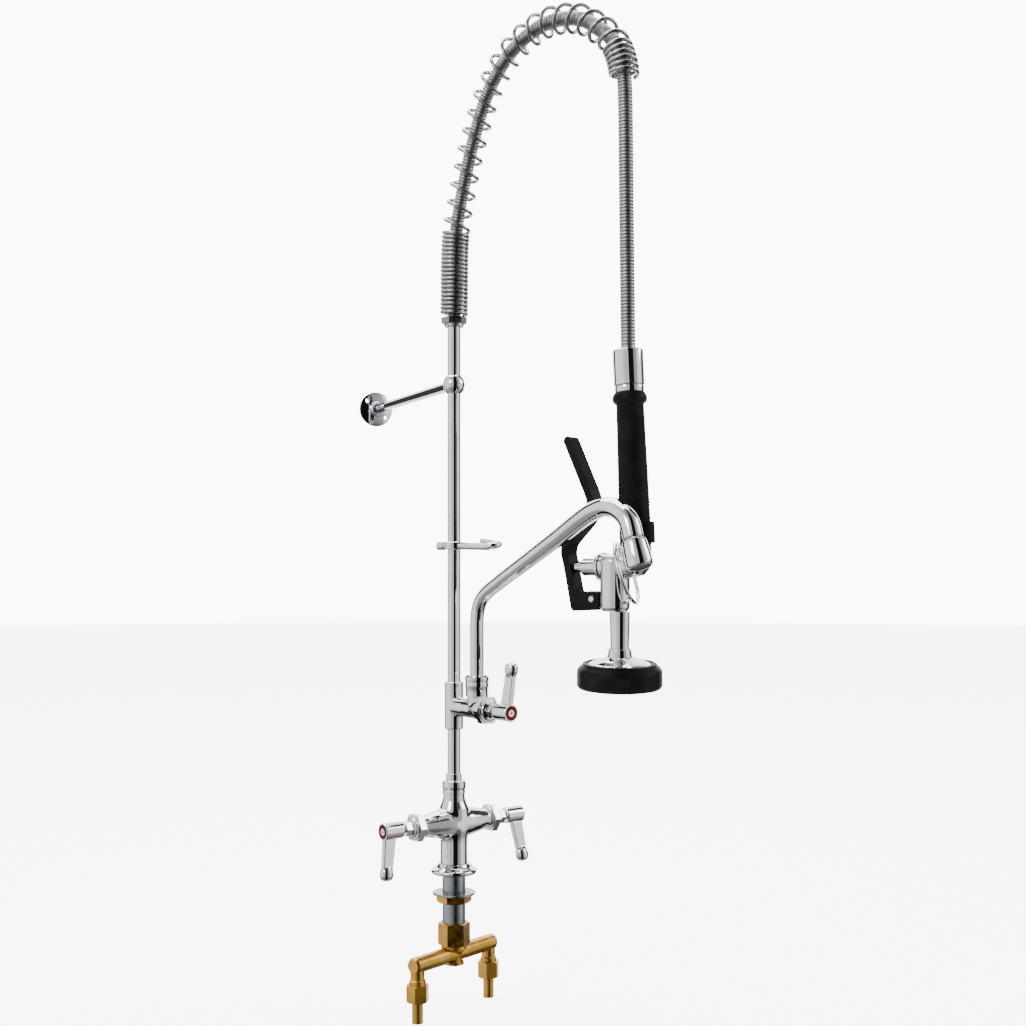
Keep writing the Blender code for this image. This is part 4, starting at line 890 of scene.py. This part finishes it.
def make_spring():
    """The overhead spring: close turns on the riser, open turns over the arch, and close turns at its end."""
    fine = hose_line(1.0)
    tight = TIGHT_TURNS * TIGHT_PITCH
    opened = OPEN_TURNS * OPEN_PITCH
    route = []
    for count, pitch, start in (
        (TIGHT_TURNS, TIGHT_PITCH, SPRING_START),
        (OPEN_TURNS, OPEN_PITCH, SPRING_START + tight),
        (END_TURNS, END_PITCH, SPRING_START + tight + opened),
    ):
        for step in range(count * TURN_POINTS):
            reach = start + pitch * step / TURN_POINTS
            turn = 2 * math.pi * step / TURN_POINTS
            here, ahead = fine[int(reach)], fine[int(reach) + 1]
            way = (ahead - here).normalized()
            centre = here + way * (reach - int(reach))
            outer = ACROSS.cross(way)
            route.append(centre + (ACROSS * math.cos(turn) + outer * math.sin(turn)) * SPRING_COIL_R)
    wire("spring", route, SPRING_WIRE_R, "stainless")


def grip_place():
    """The grip's leaning axis, pointing up, from the ferrule's top."""
    way = (UP * math.cos(GRIP_LEAN) - ARCH * math.sin(GRIP_LEAN)).normalized()
    top = spray_point(GRIP_OFFSET, 0, FERRULE_TOP)
    return place(top, way, ARCH)


def make_grip():
    """The hose's ferrule, the swivel collar, the core tube and the rubber grip on it."""
    here = grip_place()
    ferrule = [(17.2, 0), (17.9, -1), (17.9, -41), (17, -42), (12, -42), (12, -22), (9.9, -21.7), (9.9, 0)]
    turned("hose_ferrule", ferrule, "chrome", here, ring=True)
    bore = CORE_R + FIT
    collar = [(16.8, -42 - GAP), (17, -43), (17, -49), (16.6, -49.7), (bore, -49.7), (bore, -42 - GAP)]
    turned("swivel_collar", collar, "chrome", here, ring=True)
    bottom = GRIP_BOTTOM - FERRULE_TOP
    tube("grip_core", CORE_R, 6, -30, CORE_BOTTOM - FERRULE_TOP, "steel", here)
    grip = [(17.5, -50), (19.6, -53), (20.3, -57), (19.6, -60.5), (16.4, -63), (16, -64), (18.5, bottom + 1)]
    grip += [(17.8, bottom), (bore, bottom), (bore, -50)]
    rubber = turned("grip", grip, "rubber", here, ring=True)
    join(rubber, block("grip_tab", (14, -3.5, bottom + 1), (25.5, 3.5, bottom + 25), here))


def make_spray_body():
    """The spray valve's casting, with a socket for the grip, a cross bore for the plunger and an outlet."""
    stand = place(spray_point(0, 0, 0), UP, ARCH)
    cylinder = [(0, SPRAY_TOP), (11, SPRAY_TOP), (15.2, SPRAY_TOP - 2), (SPRAY_R, SPRAY_TOP - 7)]
    cylinder += [(SPRAY_R, SPRAY_BOTTOM + 4), (SPRAY_R - 2.5, SPRAY_BOTTOM), (0, SPRAY_BOTTOM)]
    body = turned("spray_body", cylinder, "chrome", stand)
    lean = grip_place()
    top = GRIP_BOTTOM - GAP - FERRULE_TOP
    socket = [(0, top + SPARE), (17.9, top + SPARE), (17.9, top - 1), (17.6, top - 18), (14.5, top - 29)]
    join(body, turned("grip_socket", [*socket, (9, top - 35), (0, top - 37)], None, lean))
    level = place(spray_point(0, 0, PLUNGER_HEIGHT), -ARCH, UP)
    join(body, rod("bridge", 13, 2, -30, level))
    join(body, rod("bonnet_boss", 15.5, 15 + SPARE, 0, level))
    join(body, rod("ring_rest", 6.5, 419.7, PLUNGER_HEIGHT, place(spray_point(RING_REST, 0, 0))))
    join(body, block("lever_lug", (-36, -5, 349), (-12, 5, 369), stand))
    flow(body)
    cut(body, rod("face_socket", FACER_R, top + 2 * SPARE, top, lean))
    cut(body, rod("bonnet_seat", SPRAY_R, 24 + SPARE, 15, level))
    cut(body, rod("plunger_bore", 9, 20, -14, level))
    cut(body, rod("bridge_bore", 5, 0, -32, level))
    cut(body, rod("core_socket", CORE_R + FIT, top + 1, CORE_BOTTOM - FERRULE_TOP - GAP, lean))
    cut(body, rod("core_passage", 5, top, PLUNGER_HEIGHT - FERRULE_TOP - 3, lean))
    outlet = place(spray_point(OUTLET_OFFSET, 0, 0))
    cut(body, rod("outlet_bore", 8, PLUNGER_HEIGHT - 4, SPRAY_BOTTOM - 1, outlet))
    cross = place(spray_point(PIVOT_OFFSET, 0, PIVOT_HEIGHT), ACROSS, UP)
    cut(body, rod("pivot_bore", PIVOT_BORE, 8, -8, cross))


def make_plunger():
    """The bonnet on the valve body, the plunger through it, and the spring behind the plunger's disc."""
    level = place(spray_point(0, 0, PLUNGER_HEIGHT), -ARCH, UP)
    end = -BONNET_END
    bore = PLUNGER_R + FIT
    bonnet = [(9.6, end), (10.5, end - 1), (10.5, 22), (12, 21), (16, 20.6), (16.9, 19), (16.9, 15 + GAP)]
    bonnet += [(8.6, 15 + GAP), (8.6, 8), (bore, 8), (bore, end)]
    turned("spray_bonnet", bonnet, "chrome", level, ring=True)
    tip = -PLUNGER_END
    plunger = [(0, tip), (4.8, tip - 0.4), (PLUNGER_R, tip - 2), (PLUNGER_R, 26), (3, 25.5), (3, 6), (8, 5.7)]
    turned("plunger", [*plunger, (8, 2.5), (0, 2.5)], "chrome", level)
    coil = []
    for step in range(RETURN_TURNS * RETURN_POINTS + 1):
        angle = 2 * math.pi * step / RETURN_POINTS
        x, y = RETURN_COIL_R * math.cos(angle), RETURN_COIL_R * math.sin(angle)
        height = 1.4 - RETURN_PITCH * step / RETURN_POINTS
        coil.append(level @ (Vector((x, y, height)) * MM) / MM)
    wire("plunger_spring", coil, RETURN_WIRE_R, "steel")


def make_squeeze_lever():
    """The bent squeeze lever, forked at its foot around the body's lug."""
    line = smooth_line(LEVER_LINE, 1.5)
    near, far = [], []
    for i, point in enumerate(line):
        way = (line[min(i + 1, len(line) - 1)] - line[max(i - 1, 0)]).to_2d().normalized()
        normal = Vector((-way.y, way.x)) * point.z
        near.append(point.to_2d() + normal)
        far.append(point.to_2d() - normal)
    way = (line[-1] - line[-2]).to_2d().normalized()
    round_end = []
    for i in range(1, 16):
        angle = math.pi * i / 16
        side = Vector((-way.y, way.x)) * math.cos(angle) + way * math.sin(angle)
        round_end.append(line[-1].to_2d() + side * line[-1].z)
    loop = [*LEVER_HEEL, *near, *round_end, *reversed(far), *LEVER_INSIDE]
    flat = Matrix((ARCH, UP, -ACROSS)).transposed().to_4x4()
    flat = Matrix.Translation(spray_point(0, 0, 0) * MM) @ flat
    lever = as_mesh(outline("squeeze_lever", [loop], LEVER_HALF_WIDTH, flat), "plastic")
    stand = place(spray_point(0, 0, 0), UP, ARCH)
    cut(lever, block("lever_slot", (-50, -LEVER_CHEEK, 335), (0, LEVER_CHEEK, 373), stand))
    cross = place(spray_point(PIVOT_OFFSET, 0, PIVOT_HEIGHT), -ACROSS, UP)
    cut(lever, rod("lever_bore", PIVOT_BORE, 20, -20, cross))
    face = LEVER_HALF_WIDTH + GAP
    pin = [(0, face + 1.6), (3, face + 1.6), (3.9, face + 1), (3.9, face), (2.45, face), (2.45, -face)]
    screw = turned("lever_pivot", [*pin, (0, -face)], "chrome", cross)
    cut(screw, block("screw_slot", (-5, -0.45, face + 0.7), (5, 0.45, face + 3), cross))


def make_hold_ring():
    """The wire ring that hangs around the casting's bridge, for the hook."""
    normal = ARCH * math.cos(RING_YAW) + ACROSS * math.sin(RING_YAW)
    upward = UP * math.cos(RING_TILT) - normal * math.sin(RING_TILT)
    facing = normal * math.cos(RING_TILT) + UP * math.sin(RING_TILT)
    centre = spray_point(RING_OFFSET, 0, RING_HEIGHT)
    sideways = facing.cross(upward)
    along = []
    for turn in circle_turns(RING_POINTS):
        along.append(centre + (upward * math.cos(turn) + sideways * math.sin(turn)) * RING_R)
    ring = wire("hold_ring", along, RING_WIRE_R, "chrome", caps=False)
    ring.data.splines[0].use_cyclic_u = True


def head_place():
    """The spray head's axis, tipped a little, from the middle of its lower face."""
    along, across = HEAD_TILT_TOWARDS
    lean = ARCH * along + ACROSS * across
    way = UP * math.cos(HEAD_TILT) + lean * math.sin(HEAD_TILT)
    foot = spray_point(OUTLET_OFFSET, 0, HEAD_HEIGHT + BUMPER_HEIGHT + 8) - way * (BUMPER_HEIGHT + 8)
    return place(foot, way, ARCH)


def make_spray_head():
    """The neck, the dome, the rubber bumper and the perforated face."""
    stand = place(spray_point(OUTLET_OFFSET, 0, 0))
    top = SPRAY_BOTTOM - GAP
    neck = [(7.6, top + 10), (7.6, top), (12, top), (12, top - 8), (11.2, 310), (10.9, 297), (6, 297)]
    turned("spray_neck", [*neck, (6, top + 10)], "chrome", stand, ring=True)
    here = head_place()
    rim = BUMPER_HEIGHT - 3
    dome = [(12.2, rim + 19), (13, rim + 18.6), (14.6, rim + 11), (15, rim + 9.5), (16, rim + 8.6)]
    dome += [(26, rim + 6), (DOME_R - 2, rim + 2.2), (DOME_R, rim + 0.6), (DOME_R, rim - 1), (35, rim - 1)]
    dome += [(24, rim + 2.5), (7, rim + 4.5), (7, rim + 8), (12.2, rim + 9)]
    turned("spray_dome", dome, "chrome", here, ring=True)
    seat = FACE_R + FIT
    lip = rim - 1 - GAP
    bumper = [(39, BUMPER_HEIGHT - 0.5), (43, BUMPER_HEIGHT - 1), (44.5, BUMPER_HEIGHT - 4), (47.5, 24)]
    bumper += [(BUMPER_R - 0.4, 21), (BUMPER_R, 17), (BUMPER_R, 3), (48, 0), (40, 0), (40, 1.5), (seat, 1.5)]
    bumper += [(seat, 7), (35, 7), (35, lip), (DOME_R + FIT, lip), (DOME_R + FIT, rim + 1)]
    turned("spray_bumper", bumper, "rubber", here, ring=True)
    loops = [circle(FACE_R, 96)]
    for radius, count in FACE_RINGS:
        loops += [circle(SPRAY_HOLE_R, 20, centre) for centre in circle(radius, count)]
    axis = here.col[2].to_3d()
    plate = place(here.translation / MM + axis * FACE_HEIGHT, axis, here.col[0].to_3d())
    as_mesh(outline("spray_face", loops, 2.0, plate), "steel")


def make_faucet():
    """Every piece but the hose and its spring, from the deck up and out to the spray valve."""
    make_deck_base()
    make_supply_yoke()
    make_valve_body()
    make_riser()
    make_tee()
    arm = UP * ARM_HEIGHT
    forward = Matrix.Rotation(math.radians(-COLD_SWING), 3, "X") @ -UP
    aside = Matrix.Rotation(math.radians(SPOUT_VALVE_TURN), 3, "Y") @ UP
    make_cartridge_valve("hot", arm + LEFT * ARM_REACH, LEFT, -UP)
    make_cartridge_valve("cold", arm + RIGHT * ARM_REACH, RIGHT, forward)
    make_cartridge_valve("spout_valve", UP * BRANCH_HEIGHT + USER * BRANCH_REACH, USER, aside)
    make_spout()
    make_hook()
    make_bracket()
    make_plunger()
    make_squeeze_lever()
    make_hold_ring()
    make_grip()
    make_spray_body()
    make_spray_head()


def settle():
    """Turns every piece in the workshop into a plain mesh with its finish, and puts it on its body."""
    bpy.context.view_layer.update()
    graph = bpy.context.evaluated_depsgraph_get()
    made = []
    for item in list(PIECES.objects):
        mesh = bpy.data.meshes.new_from_object(item.evaluated_get(graph))
        matrix = item.matrix_world.copy()
        made.append((item.name, item.get("node"), item.get("body"), item["finish"], matrix, mesh))
    for item in [*PIECES.objects, *CUTTERS.objects]:
        bpy.data.objects.remove(item)
    bpy.data.collections.remove(CUTTERS)
    for name, node, body, finish, matrix, mesh in made:
        mesh.transform(matrix)
        mesh.materials.clear()
        mesh.materials.append(surface(finish))
        piece = bpy.data.objects.new(name, mesh)
        PIECES.objects.link(piece)
        if node in UNBEVELLED:
            mesh.shade_smooth()
        else:
            shade(mesh)
            soften(piece)
        if node:
            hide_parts(node)
        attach(piece, body or BODY_OF[node])


def soften(piece):
    """Small bevels on the creases, so that they catch the light."""
    bevel = piece.modifiers.new("Edges", "BEVEL")
    bevel.width = EDGE * MM
    bevel.segments = 2
    bevel.limit_method = "ANGLE"
    bevel.angle_limit = math.radians(BEVELLED)
    bevel.use_clamp_overlap = True


def make_camera():
    """A level view from the user's left, with its frame shifted up."""
    data = bpy.data.cameras.new("camera")
    data.lens = LENS
    data.sensor_width = 36
    data.shift_y = VIEW_SHIFT
    camera = bpy.data.objects.new("camera", data)
    camera.location = CAMERA_SPOT
    camera.rotation_euler = (math.radians(90), 0, math.radians(VIEW_TURN))
    bpy.context.scene.collection.objects.link(camera)
    bpy.context.scene.camera = camera


def stops(tree, levels):
    """A ramp of greys from places between 0 and 1 and their brightness."""
    node = tree.nodes.new("ShaderNodeValToRGB")
    ramp = node.color_ramp
    ramp.elements.remove(ramp.elements[1])
    for number, (spot, level) in enumerate(levels):
        stop = ramp.elements.new(spot) if number else ramp.elements[0]
        stop.position = spot
        stop.color = (level, level, level, 1)
    return node


def add_paper(item, name, glow):
    """Pale paper that glows a little, on a thing of the studio that polished metal doesn't show."""
    item.name = name
    paper = bpy.data.materials.new(name + "_paper")
    paper.use_nodes = True
    shader = paper.node_tree.nodes["Principled BSDF"]
    shader.inputs["Base Color"].default_value = PAPER
    shader.inputs["Roughness"].default_value = 0.9
    shader.inputs["Emission Color"].default_value = (1, 1, 1, 1)
    shader.inputs["Emission Strength"].default_value = glow
    item.data.materials.append(paper)
    item.visible_glossy = False


def make_room():
    """The world: a white room with dark openings, by the direction of a reflection."""
    world = bpy.data.worlds.new("studio")
    world.use_nodes = True
    bpy.context.scene.world = world
    tree = world.node_tree
    link = tree.links.new
    back = tree.nodes["Background"]
    back.inputs["Strength"].default_value = 1.0
    coords = tree.nodes.new("ShaderNodeTexCoord")
    split = tree.nodes.new("ShaderNodeSeparateXYZ")
    link(coords.outputs["Generated"], split.inputs["Vector"])
    turn = tree.nodes.new("ShaderNodeMath")
    turn.operation = "ARCTAN2"
    link(split.outputs["Y"], turn.inputs[0])
    link(split.outputs["X"], turn.inputs[1])
    share = tree.nodes.new("ShaderNodeMapRange")
    share.inputs["From Min"].default_value = -math.pi
    share.inputs["From Max"].default_value = math.pi
    link(turn.outputs["Value"], share.inputs["Value"])
    walls = stops(tree, [((azimuth + 180) / 360, level) for azimuth, level in ROOM_BANDS])
    link(share.outputs["Result"], walls.inputs["Fac"])
    rise = tree.nodes.new("ShaderNodeMapRange")
    rise.inputs["From Min"].default_value = -1
    link(split.outputs["Z"], rise.inputs["Value"])
    falloff = stops(tree, [((height + 1) / 2, level) for height, level in ROOM_HEIGHTS])
    link(rise.outputs["Result"], falloff.inputs["Fac"])
    both = tree.nodes.new("ShaderNodeVectorMath")
    both.operation = "MULTIPLY"
    link(walls.outputs["Color"], both.inputs[0])
    link(falloff.outputs["Color"], both.inputs[1])
    link(both.outputs["Vector"], back.inputs["Color"])


def make_studio():
    """A pale floor and backdrop, soft lamps, and the room that only polished metal shows."""
    bpy.ops.mesh.primitive_plane_add(size=2 * BACKDROP_R, location=(0, 0, FLOOR_HEIGHT))
    add_paper(bpy.context.object, "floor", FLOOR_GLOW)
    bpy.ops.mesh.primitive_uv_sphere_add(segments=96, ring_count=48, radius=BACKDROP_R)
    backdrop = bpy.context.object
    add_paper(backdrop, "backdrop", BACKDROP_GLOW)
    backdrop.visible_diffuse = False
    backdrop.visible_shadow = False
    for name, spot, size, power in LAMPS:
        data = bpy.data.lights.new(name, "AREA")
        data.size = size
        data.energy = power
        lamp = bpy.data.objects.new(name, data)
        lamp.location = spot
        lamp.rotation_euler = (LAMP_AIM - Vector(spot)).to_track_quat("-Z", "Y").to_euler()
        bpy.context.scene.collection.objects.link(lamp)
    make_room()


make_camera()
make_hose()
make_spring()
make_faucet()
settle()
declare_hose()
make_studio()
